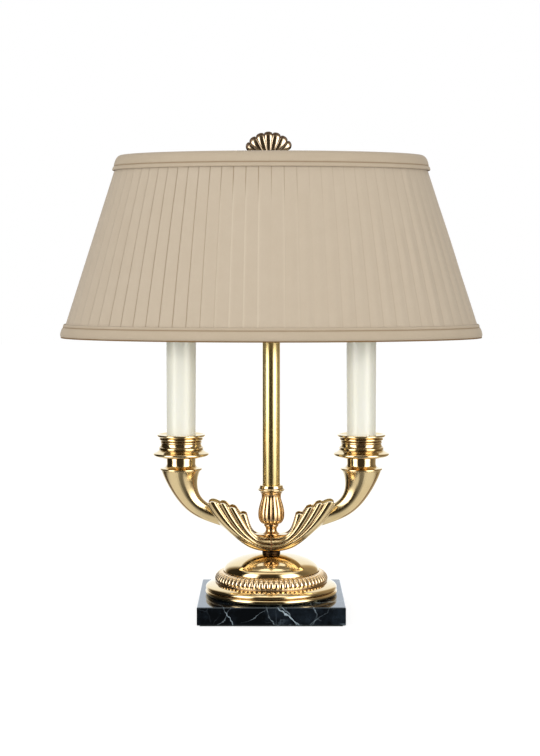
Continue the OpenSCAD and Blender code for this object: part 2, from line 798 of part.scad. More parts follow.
socket_top_z = cover_top_z - socket_sink;
socket_wall = 0.8;
shell_t = 0.4;
shell_in_r = cap_r + 0.08;
socket_in_r = shell_in_r + shell_t + 0.02;
socket_out_r = socket_in_r + socket_wall;
contact_t = 1.2;
socket_floor_t = 4;
socket_low_z = socket_top_z - cap_len - contact_t - socket_floor_t;

module socket_stem(side) {
    color("#9a9488") at_candle(side)
        tube(rod_r, rod_bore_r, mouth_z - stem_hold, socket_low_z + 2);
}

module socket_stem_left() { socket_stem(-1); }
module socket_stem_right() { socket_stem(1); }

module cup_nut(side) {
    color("#b8b5ac") at_candle(side) hex_nut(cup_z + cup_floor);
}

module cup_nut_left() { cup_nut(-1); }
module cup_nut_right() { cup_nut(1); }

module socket_body(side) {
    neck_in = rod_r + fit;
    outline = [
        [neck_in, 0], [neck_in + 3, 0], [socket_out_r, 3], [socket_out_r, socket_top_z - socket_low_z],
        [socket_in_r, socket_top_z - socket_low_z], [socket_in_r, socket_floor_t],
        [rod_bore_r, socket_floor_t], [rod_bore_r, 2], [neck_in, 2]
    ];
    color("#26221f") at_candle(side) turned(outline, socket_low_z);
}

module socket_body_left() { socket_body(-1); }
module socket_body_right() { socket_body(1); }

module socket_shell(side) {
    color("#b59a5c") at_candle(side)
        tube(shell_in_r + shell_t, shell_in_r, socket_low_z + socket_floor_t + contact_t,
             socket_top_z - 1);
}

module socket_shell_left() { socket_shell(-1); }
module socket_shell_right() { socket_shell(1); }

module socket_contact(side) {
    color("#c9a24c") at_candle(side)
        translate([0, 0, socket_low_z + socket_floor_t]) cylinder(r = 6, h = contact_t);
}

module socket_contact_left() { socket_contact(-1); }
module socket_contact_right() { socket_contact(1); }

module candle_cover(side) {
    color("#f1ecd6") at_candle(side) tube(cover_r, cover_r - cover_wall, ledge_z, cover_top_z);
}

module candle_cover_left() { candle_cover(-1); }
module candle_cover_right() { candle_cover(1); }

cap_z = socket_top_z - cap_len;

module bulb_cap(side) {
    outline = [[0, 0], [4.5, 0], [5, 1], [9, 3.2], [cap_r, 5.5], [cap_r, cap_len], [0, cap_len]];
    color("#c8c6bf") at_candle(side) turned(outline, cap_z);
}

module bulb_cap_left() { bulb_cap(-1); }
module bulb_cap_right() { bulb_cap(1); }

// Bulb glass: shares of its widest radius and of its length
glass_outline = [
    [0.715, 0], [0.72, 0.1], [0.725, 0.21], [0.77, 0.27], [0.87, 0.35], [0.955, 0.43], [1, 0.52],
    [0.985, 0.6], [0.92, 0.69], [0.8, 0.78], [0.63, 0.86], [0.42, 0.93], [0.22, 0.98], [0, 1]
];

module bulb_glass(side) {
    color("#f4f1e6") at_candle(side)
        turned(concat([[0, 0]], fitted(glass_outline, bulb_r, glass_len)), socket_top_z);
}

module bulb_glass_left() { bulb_glass(-1); }
module bulb_glass_right() { bulb_glass(1); }

// Leads from the switch down the rod, through the arm and up to the socket
lead_r = 1.2;
lead_offset = 1.8;      // how far each lead lies from the rod's axis

module arm_lead(side) {
    way = [for (i = [1 : len(wire_way) - 1])
        let (p = arm_scale(wire_way[i])) [side * p[0], 0, arm_z + p[1]]];
    turn_z = arm_z + arm_scale(wire_way[0])[1];
    path = concat(
        [[side * lead_offset, 0, block_z - block_half_h - 0.1], [side * lead_offset, 0, turn_z + 60],
         [side * lead_offset, 0, turn_z + 3], [side * (lead_offset + 1.4), 0, turn_z + 0.8],
         [side * (rod_r + 2), 0, turn_z]],
        way,
        [[side * arm_reach, 0, mouth_z + 20], [side * arm_reach, 0, socket_low_z + socket_floor_t - 0.1]]);
    color("#4a3a22") swept(path, lead_r);
}

module arm_lead_left() { arm_lead(-1); }
module arm_lead_right() { arm_lead(1); }

// ---------- shade ----------

// Half width of the shade's cloth at a height
function cloth_a(z) = lerp(shade_bottom_a, shade_top_a, (z - shade_bottom_z) / shade_h);

// A point on the oval at height z, pushed out from the cloth by d
function oval(t, z, d) =
    let (a = cloth_a(z))
    [(a + d) * cos(t), (a * shade_oval + d) * sin(t), z];

liner_d = -cloth_t - gap;
wire_d = liner_d - liner_t - gap - ring_wire_r;
hem_d = wire_d - ring_wire_r - gap;
hem_t = 1.2;
trim_in = pleat_depth + gap;
trim_out = trim_in + trim_t;
hem_z = 1.3;              // thickness of the trims where they turn over the rings
trim_lap = 2.4;           // cloth above the bottom edge and below the top edge
top_hem_h = 3.6;          // inner leg of the top trim, clear of the spider's arms
top_wire_z = shade_top_z - 5;
bottom_wire_z = shade_bottom_z + 5;
oval_n = 72;

// A ring whose section is a list of [push from the cloth, height]
module oval_ring(section, n = oval_n) {
    closed_grid([for (i = [0 : n - 1]) [for (s = section) oval(360 * i / n, s[1], s[0])]]);
}

module shade_cloth() {
    n = 2 * pleat_n;
    z0 = shade_bottom_z + trim_lap;
    z1 = shade_top_z - trim_lap;
    rows = [for (i = [0 : n - 1])
        let (
            t = 360 * i / n,
            d = i % 2 == 0 ? pleat_depth : 0)
        [oval(t, z0, -cloth_t), oval(t, z0, d), oval(t, z1, d), oval(t, z1, -cloth_t)]];
    color("#cbbca5") closed_grid(rows);
}

module shade_liner() {
    z0 = shade_bottom_z + trim_lap;
    z1 = shade_top_z - trim_lap;
    color("#f0e9dc") oval_ring([[liner_d - liner_t, z0], [liner_d, z0], [liner_d, z1],
                                [liner_d - liner_t, z1]]);
}

// Both trims wrap their wire ring like an upturned or a hanging U
module shade_top_trim() {
    z = shade_top_z;
    h = top_trim_h;
    color("#c4b399") oval_ring([
        [trim_in, z - h], [trim_out - 0.7, z - h + 0.8], [trim_out, z - h + 3],
        [trim_out, z - 4], [trim_out - 1, z - 1.3], [-0.2, z], [hem_d, z],
        [hem_d - hem_t, z - 1.2], [hem_d - hem_t, z - top_hem_h], [hem_d, z - top_hem_h],
        [hem_d, z - hem_z], [trim_in, z - hem_z - 0.4]]);
}

module shade_bottom_trim() {
    z = shade_bottom_z;
    h = bottom_trim_h;
    color("#c4b399") oval_ring([
        [trim_in, z + h], [trim_in, z + hem_z + 0.4], [hem_d, z + hem_z],
        [hem_d, z + 0.6 * h], [hem_d - hem_t, z + 0.6 * h], [hem_d - hem_t, z + 1.2],
        [hem_d, z], [-1.2, z], [trim_out - 1.4, z + 2.2], [trim_out, z + 7],
        [trim_out, z + h - 3], [trim_out - 1, z + h - 0.8]]);
}

module wire_ring(z) {
    oval_ring([for (k = [0 : 5])
        [wire_d + ring_wire_r * cos(60 * k), z + ring_wire_r * sin(60 * k)]]);
}

module shade_top_ring() { color("#8f8b83") wire_ring(top_wire_z); }
module shade_bottom_ring() { color("#8f8b83") wire_ring(bottom_wire_z); }

module shade_side_wires() {
    clear = ring_wire_r + 0.05;
    color("#8f8b83") for (k = [0 : side_wire_n - 1]) {
        t = 360 * (k + 0.5) / side_wire_n;
        low = oval(t, bottom_wire_z, wire_d);
        high = oval(t, top_wire_z, wire_d);
        along = unit(high - low);
        rod_between(low + along * clear, high - along * clear, side_wire_r);
    }
}

// A washer with four lugs, each with a wire up to the top ring
module shade_spider() {
    z = washer_z - 0.5 * side_wire_r;
    reach = seat_r + spider_flat;
    color("#8f8b83") difference() {
        union() {
            translate([0, 0, washer_z]) cylinder(r = spider_r, h = spider_t);
            for (t = [0 : 90 : 270]) {
                tip = oval(t, top_wire_z, wire_d - ring_wire_r - 0.25);
                root = (seat_r + 1) * [cos(t), sin(t), 0] + [0, 0, z];
                rotate([0, 0, t]) translate([spider_r / 2, -lug_w / 2, washer_z])
                    cube([reach - spider_r / 2, lug_w, spider_t]);
                rod_between(root, tip, side_wire_r);
            }
        }
        translate([0, 0, washer_z - 5]) cylinder(r = stud_r + fit, h = 12);
    }
}

// ---------- finial ----------

finial_outline = [
    [0.78, 0], [1, 0.05], [1.06, 0.12], [1, 0.19], [0.72, 0.24], [0.6, 0.32], [0.62, 0.42],
    [0.8, 0.5], [0.98, 0.6], [1, 0.7], [0.86, 0.82], [0.66, 0.9], [0.6, 1]
];
finial_r = 7.6;
shell_sink = 0.8;         // how far the flutes' meeting point lies inside the base
shell_z = finial_z + finial_base_h - shell_sink;

module finial_base() {
    bore = stud_r + fit;
    bore_h = stud_len - spider_t + 0.6;
    color("#b8923f") difference() {
        turned(concat([[0, 0]], fitted(finial_outline, finial_r, finial_base_h),
                      [[0, finial_base_h]]), finial_z);
        translate([0, 0, finial_z - eps]) cylinder(r = bore, h = bore_h);
    }
}

// Shell: flutes fan out from the hinge; s runs across it from -1 to 1, v from hinge to rim
shell_spread = 58;        // half of the fan's angle
shell_lean = 2;           // the shell is set a little askew, and to the left of its screw
shell_shift = -2.2;
shell_rows = [0.048, 0.16, 0.32, 0.5, 0.68, 0.84, 0.95, 1];
shell_steps = 4;          // points across one flute

function shell_rim(s, across) =
    let (
        a = shell_spread * s,
        full = 1 / sqrt(pow(sin(a) / (shell_half_w / sin(shell_spread)), 2)
                        + pow(cos(a) / shell_h, 2)))
    full * (1 - 0.07 * (1 - across)) * (1 - 0.1 * pow(abs(s), 8));

function shell_point(s, v, side) =
    let (
        place = (s + 1) / 2 * flute_n,
        f = place - floor(min(place, flute_n - 0.001)),
        across = sqrt(max(0, 4 * f * (1 - f))),
        a = shell_spread * s - shell_lean,
        r = v * shell_rim(s, across),
        edge = 1 - pow(abs(s), 4),
        body = shell_half_t * pow(sin(180 * min(1, 0.12 + 0.82 * v)), 0.7) * (0.35 + 0.65 * edge),
        ridge = 0.9 * v * across)
    [r * sin(a) + shell_shift, side * (0.5 + body * 0.75 + ridge), shell_z + r * cos(a)];

module finial_shell() {
    n = flute_n * shell_steps;
    columns = [for (i = [0 : n]) 2 * i / n - 1];
    rows = [for (v = shell_rows) concat(
        [for (s = columns) shell_point(s, v, -1)],
        [for (i = [n : -1 : 0]) shell_point(columns[i], v, 1)])];
    color("#a8812f") banded_loft(rows);
}

felt_pad();
marble_base();
base_washer();
base_nut();
cord_bushing();
foot();
gadroon_ring();
dome();
arm_spacer();
arm_left();
arm_right();
vase();
column_collar();
main_rod();
column_tube();
neck_left();
neck_right();
candle_cup_left();
candle_cup_right();
socket_stem_left();
socket_stem_right();
cup_nut_left();
cup_nut_right();
socket_body_left();
socket_body_right();
socket_shell_left();
socket_shell_right();
socket_contact_left();
socket_contact_right();
candle_cover_left();
candle_cover_right();
bulb_cap_left();
bulb_cap_right();
bulb_glass_left();
bulb_glass_right();
arm_lead_left();
arm_lead_right();
switch_housing();
switch_block();
switch_knob();
rod_nut();
stem_rod();
stem_nut();
stem_tube();
shade_seat();
shade_spider();
shade_top_ring();
shade_bottom_ring();
shade_side_wires();
shade_liner();
shade_cloth();
shade_top_trim();
shade_bottom_trim();
finial_base();
finial_shell();
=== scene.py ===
import math
import random

import bpy
import numpy as np
from mathutils import Matrix, Vector


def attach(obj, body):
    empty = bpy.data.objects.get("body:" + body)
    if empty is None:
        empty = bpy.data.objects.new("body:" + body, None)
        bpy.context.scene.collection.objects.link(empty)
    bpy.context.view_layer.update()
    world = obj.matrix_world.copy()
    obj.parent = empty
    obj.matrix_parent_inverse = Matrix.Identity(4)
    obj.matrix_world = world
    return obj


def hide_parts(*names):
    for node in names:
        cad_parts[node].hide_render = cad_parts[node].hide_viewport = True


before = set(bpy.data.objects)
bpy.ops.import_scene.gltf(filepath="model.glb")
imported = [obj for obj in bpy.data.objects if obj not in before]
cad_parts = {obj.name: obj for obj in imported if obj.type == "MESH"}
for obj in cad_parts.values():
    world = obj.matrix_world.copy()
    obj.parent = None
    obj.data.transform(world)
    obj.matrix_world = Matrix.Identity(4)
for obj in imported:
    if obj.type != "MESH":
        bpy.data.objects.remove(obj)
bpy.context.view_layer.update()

MM = 0.001
SEED = 7

# -------------------- sizes, in millimetres
SLAB_HALF = 78.0
BORE_R = 5.2             # hole for the main rod
FOOT_R, FOOT_H, FOOT_Z = 71.8, 13.2, 20.2
GADROON_R, GADROON_H, GADROON_N = 61.8, 11.8, 66
RING_Z = FOOT_Z + FOOT_H
DOME_R, DOME_H = 51.8, 18.8
DOME_Z = RING_Z + GADROON_H
SPACER_R, SPACER_H = 9.8, 2.4
SPACER_Z = DOME_Z + DOME_H * math.sqrt(1 - (SPACER_R / DOME_R) ** 2)
ARM_Z = SPACER_Z + SPACER_H
ARM_REACH, ARM_RISE = 98.3, 88.5
FAN_H, FAN_DEPTH, FAN_WALL = 18.8, 15.0, 1.8
VASE_R, VASE_H, REEDS = 14.6, 45.3, 12
VASE_Z = ARM_Z + FAN_H
COLLAR_H = 8.0
COLLAR_Z = VASE_Z + VASE_H
COLUMN_Z = COLLAR_Z + COLLAR_H - 3
COLUMN_R, COLUMN_WALL, COLUMN_LEN = 9.6, 1.2, 186.4
HOUSING_Z, HOUSING_H = COLUMN_Z + COLUMN_LEN, 42.0
STEM_Z = HOUSING_Z + HOUSING_H
SEAT_Z = STEM_Z + 101.0
WASHER_Z = SEAT_Z + 12.0
FINIAL_Z = WASHER_Z + 1.85
MOUTH_Z = ARM_Z + ARM_RISE
NECK_R, LIP_R, NECK_H, STEM_BORE_R = 15.8, 23.0, 14.0, 5.1
CUP_Z, CUP_R, CUP_H = MOUTH_Z + NECK_H, 30.5, 24.9
LEDGE_Z = CUP_Z + 9.5
COVER_R, COVER_WALL, COVER_LEN = 15.875, 1.25, 152.4
COVER_TOP = LEDGE_Z + COVER_LEN
SOCKET_TOP = COVER_TOP - 3
BULB_R, GLASS_LEN, CAP_LEN = 17.5, 78.0, 25.0
SHADE_TOP_Z = WASHER_Z + 21.0
SHADE_H = 199.0
SHADE_BOTTOM_Z = SHADE_TOP_Z - SHADE_H
SHADE_TOP_A, SHADE_BOTTOM_A, SHADE_OVAL = 165.0, 228.0, 0.5
SHELL_Z = FINIAL_Z + 10.7
PLEATS, PLEAT_RISE = 74, 1.3
CLOTH_T, LINER_T, RING_WIRE, GAP = 0.8, 0.8, 3.2, 0.3
EDGE_IN = 2.4            # from the shade's edges to those of its cloth and lining

# -------------------- mesh helpers


def add_object(name, data):
    obj = bpy.data.objects.new(name, data)
    bpy.context.scene.collection.objects.link(obj)
    return obj


def make_mesh(name, verts, faces):
    """An object from points in millimetres, in the lamp's frame."""
    mesh = bpy.data.meshes.new(name)
    mesh.from_pydata([tuple(c * MM for c in v) for v in verts], [], faces)
    mesh.validate()
    mesh.update()
    mesh.shade_smooth()
    return add_object(name, mesh)


def grid_faces(rows, cols, wrap_rows=False):
    faces = []
    for i in range(rows if wrap_rows else rows - 1):
        for j in range(cols):
            a, b = i * cols, ((i + 1) % rows) * cols
            k = (j + 1) % cols
            faces.append((a + j, a + k, b + k, b + j))
    return faces


def catmull(points, per):
    """Points on a smooth curve through the given ones."""
    if len(points) < 3:
        return list(points)
    pts = [np.array(p, float) for p in points]
    ext = [2 * pts[0] - pts[1]] + pts + [2 * pts[-1] - pts[-2]]
    out = []
    for i in range(1, len(ext) - 2):
        p0, p1, p2, p3 = ext[i - 1:i + 3]
        k = [0.0]
        for a, b in ((p0, p1), (p1, p2), (p2, p3)):
            k.append(k[-1] + max(np.linalg.norm(b - a), 1e-6) ** 0.5)

        def blend(i, j, p, q):
            return (k[j] - t) / (k[j] - k[i]) * p + (t - k[i]) / (k[j] - k[i]) * q

        for s in range(per):
            t = k[1] + (k[2] - k[1]) * s / per
            a1, a2, a3 = blend(0, 1, p0, p1), blend(1, 2, p1, p2), blend(2, 3, p2, p3)
            out.append(blend(1, 2, blend(0, 2, a1, a2), blend(1, 3, a2, a3)))
    out.append(pts[-1])
    return out


def rounded_outline(outline, per=4, break_r=0.12):
    """A fine outline from points (r, z) or (r, z, "c"): runs between corners marked c are
    smooth curves, and each corner is broken by a tiny facet, as turning leaves it."""
    runs, run = [], []
    for p in outline:
        run.append(p[:2])
        if len(p) == 3:
            runs.append(run)
            run = [p[:2]]
    out = []
    for run in runs + [run]:
        if len(run) < 2:
            continue
        pts = [np.array(q, float) for q in catmull(run, per)]
        d0 = pts[1] - pts[0]
        d1 = pts[-2] - pts[-1]
        n0, n1 = np.linalg.norm(d0), np.linalg.norm(d1)
        pts[0] = pts[0] + d0 / n0 * min(break_r, 0.3 * n0)
        pts[-1] = pts[-1] + d1 / n1 * min(break_r, 0.3 * n1)
        out += pts
    return [(float(p[0]), float(p[1])) for p in out]


def revolve(name, prof, z, x, segments, closed=True):
    """A turned surface from its outline as points (r, height)."""
    turns = [2 * math.pi * j / segments for j in range(segments)]
    verts = [(x + r * math.cos(t), r * math.sin(t), z + h) for r, h in prof for t in turns]
    return make_mesh(name, verts, grid_faces(len(prof), segments, wrap_rows=closed))


def lathe(name, outline, z, x=0.0, segments=160, closed=True, per=4):
    """A turned solid. outline is listed upwards outside and back down inside."""
    prof = rounded_outline(outline, per)
    obj = revolve(name, prof, z, x, segments, closed)
    # grooves of turned parts get red-brown patina and painted shade
    set_attribute(obj, "patina_and_shade", np.repeat(profile_hollows(prof, closed), segments))
    return obj


def set_attribute(obj, name, values):
    """A value from 0 to 1 at each point, for a material to read."""
    attr = obj.data.attributes.new(name, "FLOAT", "POINT")
    attr.data.foreach_set("value", [min(max(float(v), 0.0), 1.0) for v in values])


def profile_hollows(prof, closed, reach=1.1, full=0.24):
    """How deep each point of a turned outline lies in a groove: how far the outline around
    it, averaged over the reach each way, stands out from it."""
    pts = np.array(prof, float)
    ring = np.vstack([pts, pts[:1]]) if closed else pts
    run = np.concatenate([[0], np.cumsum(np.hypot(*np.diff(ring, axis=0).T))])
    out = []
    for i, p in enumerate(pts):
        at = run[i] + np.linspace(-reach, reach, 23)
        at = at % run[-1] if closed else np.clip(at, 0, run[-1])
        d = np.array([np.interp(at, run, ring[:, c]) for c in (0, 1)])
        along = d[:, 12:15].mean(1) - d[:, 8:11].mean(1)
        normal = np.array([along[1], -along[0]]) / max(np.linalg.norm(along), 1e-9)
        out.append(max(0.0, float(np.dot(d.mean(1) - p, normal)) / full))
    return out


def mesh_hollows(obj, rounds, full):
    """The same for any mesh: how far its smoothed copy stands out from each point."""
    mesh = obj.data
    n = len(mesh.vertices)
    co = np.empty(n * 3)
    mesh.vertices.foreach_get("co", co)
    co = co.reshape(n, 3) / MM
    normals = np.empty(n * 3)
    mesh.vertices.foreach_get("normal", normals)
    edges = np.empty(len(mesh.edges) * 2, int)
    mesh.edges.foreach_get("vertices", edges)
    a, b = edges.reshape(-1, 2).T
    ends, others = np.concatenate([a, b]), np.concatenate([b, a])
    count = np.bincount(ends, minlength=n)
    soft = co.copy()
    for _ in range(rounds):
        soft = np.stack([np.bincount(ends, soft[others, c], n) / count for c in range(3)], 1)
    return ((soft - co) * normals.reshape(n, 3)).sum(1) / full, co


def share(outline, r, h):
    return [(p[0] * r, p[1] * h) + tuple(p[2:]) for p in outline]


def voxel_solid(obj, size, smooth_steps):
    """Joins an object's crossing shells into one skin, softened as a casting is."""
    remesh = obj.modifiers.new("cast", "REMESH")
    remesh.mode = "VOXEL"
    remesh.voxel_size = size * MM
    smooth = obj.modifiers.new("soften", "SMOOTH")
    smooth.factor = 0.5
    smooth.iterations = smooth_steps
    deps = bpy.context.evaluated_depsgraph_get()
    cast = bpy.data.meshes.new_from_object(obj.evaluated_get(deps))
    obj.modifiers.clear()
    shells, obj.data = obj.data, cast
    bpy.data.meshes.remove(shells)
    obj.data.shade_smooth()


# -------------------- material helpers


def linear(r, g, b):
    """Scene colour from display values 0 to 255."""
    def one(v):
        v /= 255.0
        return v / 12.92 if v <= 0.04045 else ((v + 0.055) / 1.055) ** 2.4
    return (one(r), one(g), one(b), 1.0)


class Nodes:
    """Short ways to add nodes to a tree. A value is a number, a colour or another output."""

    def __init__(self, tree):
        self.nodes, self.links = tree.nodes, tree.links

    def feed(self, socket, value):
        if hasattr(value, "node"):
            self.links.new(value, socket)
        else:
            socket.default_value = value

    def add(self, kind, inputs=(), **settings):
        """A node with its settings and its inputs, by name or in order."""
        n = self.nodes.new("ShaderNode" + kind)
        for key, value in settings.items():
            setattr(n, key, value)
        for key, value in inputs.items() if isinstance(inputs, dict) else enumerate(inputs):
            self.feed(n.inputs[key], value)
        return n

    def math(self, op, *values):
        return self.add("Math", values, operation=op).outputs[0]

    def vector_math(self, op, *values, out="Vector"):
        return self.add("VectorMath", values, operation=op).outputs[out]

    def mix(self, fac, a, b, mode="MIX"):
        return self.add("Mix", {"Factor": fac, 6: a, 7: b}, data_type="RGBA",
                        blend_type=mode).outputs[2]

    def times(self, a, b):
        return self.mix(1.0, a, b, "MULTIPLY")

    def ramp(self, fac, stops, shape="LINEAR"):
        r = self.add("ValToRGB", {"Fac": fac})
        r.color_ramp.interpolation = shape
        el = r.color_ramp.elements
        while len(el) < len(stops):
            el.new(0.5)
        for e, (at, v) in zip(el, stops):
            e.position = at
            e.color = v if hasattr(v, "__len__") else (v, v, v, 1)
        return r.outputs["Color"]

    def attribute(self, name):
        return self.add("Attribute", attribute_name=name).outputs["Fac"]


class Shader(Nodes):
    """A Principled material."""

    def __init__(self, name, color, roughness, metallic=0.0):
        self.mat = bpy.data.materials.new(name)
        self.mat.use_nodes = True
        super().__init__(self.mat.node_tree)
        self.bsdf = self.nodes["Principled BSDF"]
        self.set("Base Color", color)
        self.set("Roughness", roughness)
        self.set("Metallic", metallic)
        self.place = self.add("TexCoord").outputs["Object"]

    def set(self, socket, value):
        self.feed(self.bsdf.inputs[socket], value)

    def mapped(self, scale):
        return self.add("Mapping", {"Scale": scale, "Vector": self.place}).outputs["Vector"]

    def noise(self, scale, detail=3, rough=0.55, vector=None, out="Fac"):
        return self.add("TexNoise", {"Scale": scale, "Detail": detail, "Roughness": rough,
                                     "Vector": vector or self.place}).outputs[out]

    def bump(self, height, strength, distance):
        b = self.add("Bump", {"Strength": strength, "Distance": distance, "Height": height})
        self.set("Normal", b.outputs["Normal"])


# -------------------- materials


def brass(name, bright, warm, roughness, stain=0.3, patina_and_shade=(84, 44, 20), wear=0.04):
    """Old lacquered brass with faint clouding and fine wear in its gloss. Red-brown and duller
    where the point mark is high: partly patina, partly painted shade in grooves, gaps and the
    arms' seam, and painted dark reflection along the horn's edges and the shell's rim."""
    s = Shader(name, bright, roughness, 1.0)
    clouds = s.ramp(s.noise(30, 4, 0.6), [(0.35, 0.0), (0.75, 1.0)])
    tone = s.mix(s.math("MULTIPLY", clouds, stain), bright, warm)
    # red-brown patina with painted shade and painted dark reflection, where the point mark is high
    deep = s.ramp(s.attribute("patina_and_shade"), [(0.12, 0.0), (0.75, 0.92)])
    s.set("Base Color", s.mix(deep, tone, linear(*patina_and_shade)))
    spread = s.ramp(s.noise(90, 3, 0.6), [(0.3, roughness - wear), (0.8, roughness + wear)])
    s.set("Roughness", s.mix(deep, spread, (0.42, 0.42, 0.42, 1)))
    s.bump(s.noise(260, 2, 0.5), wear / 2, 0.00005)
    return s.mat


WARP = 0.022             # how far the marble's front veins wander, in metres


def marble():
    """Black marble, polished: a few white veins, finer grey ones and cloudy patches."""
    s = Shader("marble_black", linear(16, 20, 25), 0.07)
    s.set("Specular IOR Level", 0.6)
    s.set("Specular Tint", (0.74, 0.88, 1.0, 1.0))

    def bent(scale, reach):
        warp = s.noise(scale, 5, 0.5, out="Color")
        return s.vector_math("MULTIPLY_ADD", warp, (reach, reach, reach), s.place)

    wide, tight = bent(22, 0.05), bent(48, WARP)

    def veins(scale, width, shift):
        edge = s.add("TexVoronoi", {"Scale": scale, "Vector": s.vector_math("ADD", wide, shift)},
                     feature="DISTANCE_TO_EDGE")
        return s.ramp(edge.outputs["Distance"], [(0.0, 1.0), (width, 0.0)])

    def stroke(start, end, slant, width, strength):
        """A vein on a plane right through the slab, seen between two points of its front."""
        d = Vector((end[0] - start[0], end[1] - start[1])).normalized()
        normal = Vector((d.y, slant, -d.x))
        middle = Vector(((start[0] + end[0]) / 2, -SLAB_HALF, (start[1] + end[1]) / 2)) * MM
        drift = WARP / 2 * (normal.x + normal.y + normal.z)
        dot = s.vector_math("DOT_PRODUCT", tight, normal, out="Value")
        off = s.math("ABSOLUTE", s.math("SUBTRACT", dot, normal.dot(middle) + drift))
        line = s.ramp(s.math("MULTIPLY", off, 1 / (width * MM)), [(0.0, strength), (1.0, 0.0)])
        gap = s.vector_math("DISTANCE", s.place, middle, out="Value")
        near = s.ramp(s.math("MULTIPLY", gap, 20.0), [(0.16, 1.0), (0.5, 0.0)])
        broken = s.times(line, s.ramp(s.noise(70, 3, 0.6), [(0.36, 0.15), (0.6, 1.0)]))
        return s.times(broken, near)

    patch = s.ramp(s.noise(14, 4, 0.6), [(0.5, 0.0), (0.66, 1.0)])
    broad = s.times(veins(17, 0.018, (3.1, 1.7, 0.4)), patch)
    fine = s.times(veins(42, 0.022, (0.3, 5.2, 2.2)),
                   s.ramp(s.noise(23, 3, 0.5), [(0.5, 0.0), (0.72, 0.45)]))
    for vein in (((-47, 14), (-54, 4), 0.3, 0.45, 0.5), ((-47, 15), (-41, 1), -0.2, 0.6, 0.9),
                 ((-4, 20), (2, 5), 0.25, 0.6, 0.9), ((9, 21), (23, 3), 0.2, 0.9, 1.0),
                 ((15, 20), (20, 8), -0.3, 0.6, 0.7), ((54, 17), (43, 3), 0.2, 0.5, 0.45),
                 ((-16, 12), (-6, 18), 0.4, 0.45, 0.45)):
        broad = s.mix(1.0, broad, stroke(*vein), "ADD")
    cloud = s.ramp(s.noise(30, 6, 0.7), [(0.46, linear(6, 9, 13)), (0.78, linear(38, 48, 58))])
    c = s.mix(fine, cloud, linear(112, 126, 136))
    s.set("Base Color", s.mix(s.ramp(broad, [(0.0, 0.0), (1.0, 1.0)]), c, linear(186, 204, 214)))
    return s.mat


def fabric(name, color, shade, threads, sheen, fold=False):
    """Plain woven cloth: crossing threads, slubs, faint clouding; with fold set, painted
    shade along fold edges and creases and painted highlight along crests.
    """
    s = Shader(name, color, 0.85)
    s.set("Sheen Weight", sheen)
    s.set("Sheen Roughness", 0.5)
    s.set("Specular IOR Level", 0.25)
    warp = s.noise(1.0, 2, 0.5, s.mapped((threads, threads, 30)))
    weft = s.noise(1.0, 2, 0.5, s.mapped((60, 60, threads)))
    clouds = s.ramp(s.noise(60, 4, 0.6), [(0.3, 0.0), (0.8, 1.0)])
    c = s.mix(s.math("MULTIPLY", clouds, 0.3), color, shade)
    streak = s.ramp(warp, [(0.35, 0.0), (0.7, 1.0)])
    c = s.mix(s.math("MULTIPLY", streak, 0.175), c, shade)
    if fold:
        # painted shade along fold edges and creases, painted highlight along the pleats' crests
        for place, strength, tone in (("fold", 0.7, linear(126, 98, 62)),
                                      ("crest", 0.5, linear(226, 212, 190))):
            c = s.mix(s.math("MULTIPLY", s.attribute(place), strength), c, tone)
    s.set("Base Color", c)
    s.bump(s.math("ADD", warp, weft), 0.18, 0.0002)
    return s.mat


def plain(name, color, roughness, metallic=0.0):
    """A finish with faint mottling and a fine surface."""
    s = Shader(name, color, roughness, metallic)
    darker = tuple(c * 0.8 for c in color[:3]) + (1.0,)
    mottling = s.ramp(s.noise(90, 4, 0.6), [(0.35, 0.0), (0.8, 1.0)])
    s.set("Base Color", s.mix(mottling, color, darker))
    s.set("Roughness", s.ramp(s.noise(207, 3, 0.5), [(0.3, max(roughness - 0.05, 0.02)),
                                                     (0.8, roughness + 0.07)]))
    s.bump(s.noise(630, 3, 0.5), 0.08, 0.0001)
    return s.mat


WARM = linear(202, 166, 112)
# the dark red-brown colours given to brass below are for patina and painted shade in grooves and
# gaps, and painted dark reflection on edges and rims
MAT = {
    "polished": brass("brass_polished", linear(230, 208, 164), WARM, 0.11),
    "gadroon": brass("brass_gadroon", linear(238, 214, 178), WARM, 0.13, 0.15, (70, 36, 18)),
    "satin": brass("brass_satin", linear(224, 204, 160), WARM, 0.2, patina_and_shade=(104, 48, 24)),
    "column": brass("brass_column", linear(228, 208, 150), WARM, 0.25, 0.15, wear=0.01),
    "reeded": brass("brass_reeded", linear(224, 192, 146), linear(192, 144, 96), 0.15),
    "bronze": brass("bronze_finial", linear(214, 194, 168), linear(160, 124, 86), 0.17,
                    patina_and_shade=(50, 32, 20)),
    "blackened": plain("brass_blackened", linear(62, 44, 26), 0.42, 0.9),
    "steel": plain("steel_zinc", linear(186, 184, 178), 0.32, 1.0),
    "wire": plain("wire_dull", linear(150, 142, 128), 0.42, 1.0),
    "felt": fabric("felt_green", linear(58, 68, 58), linear(40, 48, 42), 900, 0.5),
    "rubber": plain("rubber_black", linear(30, 30, 31), 0.62),
    "phenolic": plain("phenolic_black", linear(34, 31, 29), 0.38),
    "lead": plain("lead_brown", linear(112, 88, 52), 0.5),
    "aluminium": plain("aluminium_cap", linear(214, 212, 206), 0.28, 1.0),
    "marble": marble(),
    "cloth": fabric("pleated_cloth", linear(199, 184, 163), linear(188, 171, 148), 1500, 0.2,
                    True),
    "trim": fabric("trim_cloth", linear(194, 178, 155), linear(181, 163, 139), 1500, 0.2, True),
    # dark cloth for the cord that stands in as painted shadow under the bottom trim
    "shadow_cord": fabric("shadow_cord_cloth", linear(134, 104, 66), linear(96, 70, 40), 1800, 0.1),
    "lining": fabric("lining_cloth", linear(238, 230, 214), linear(224, 214, 194), 1300, 0.15),
}


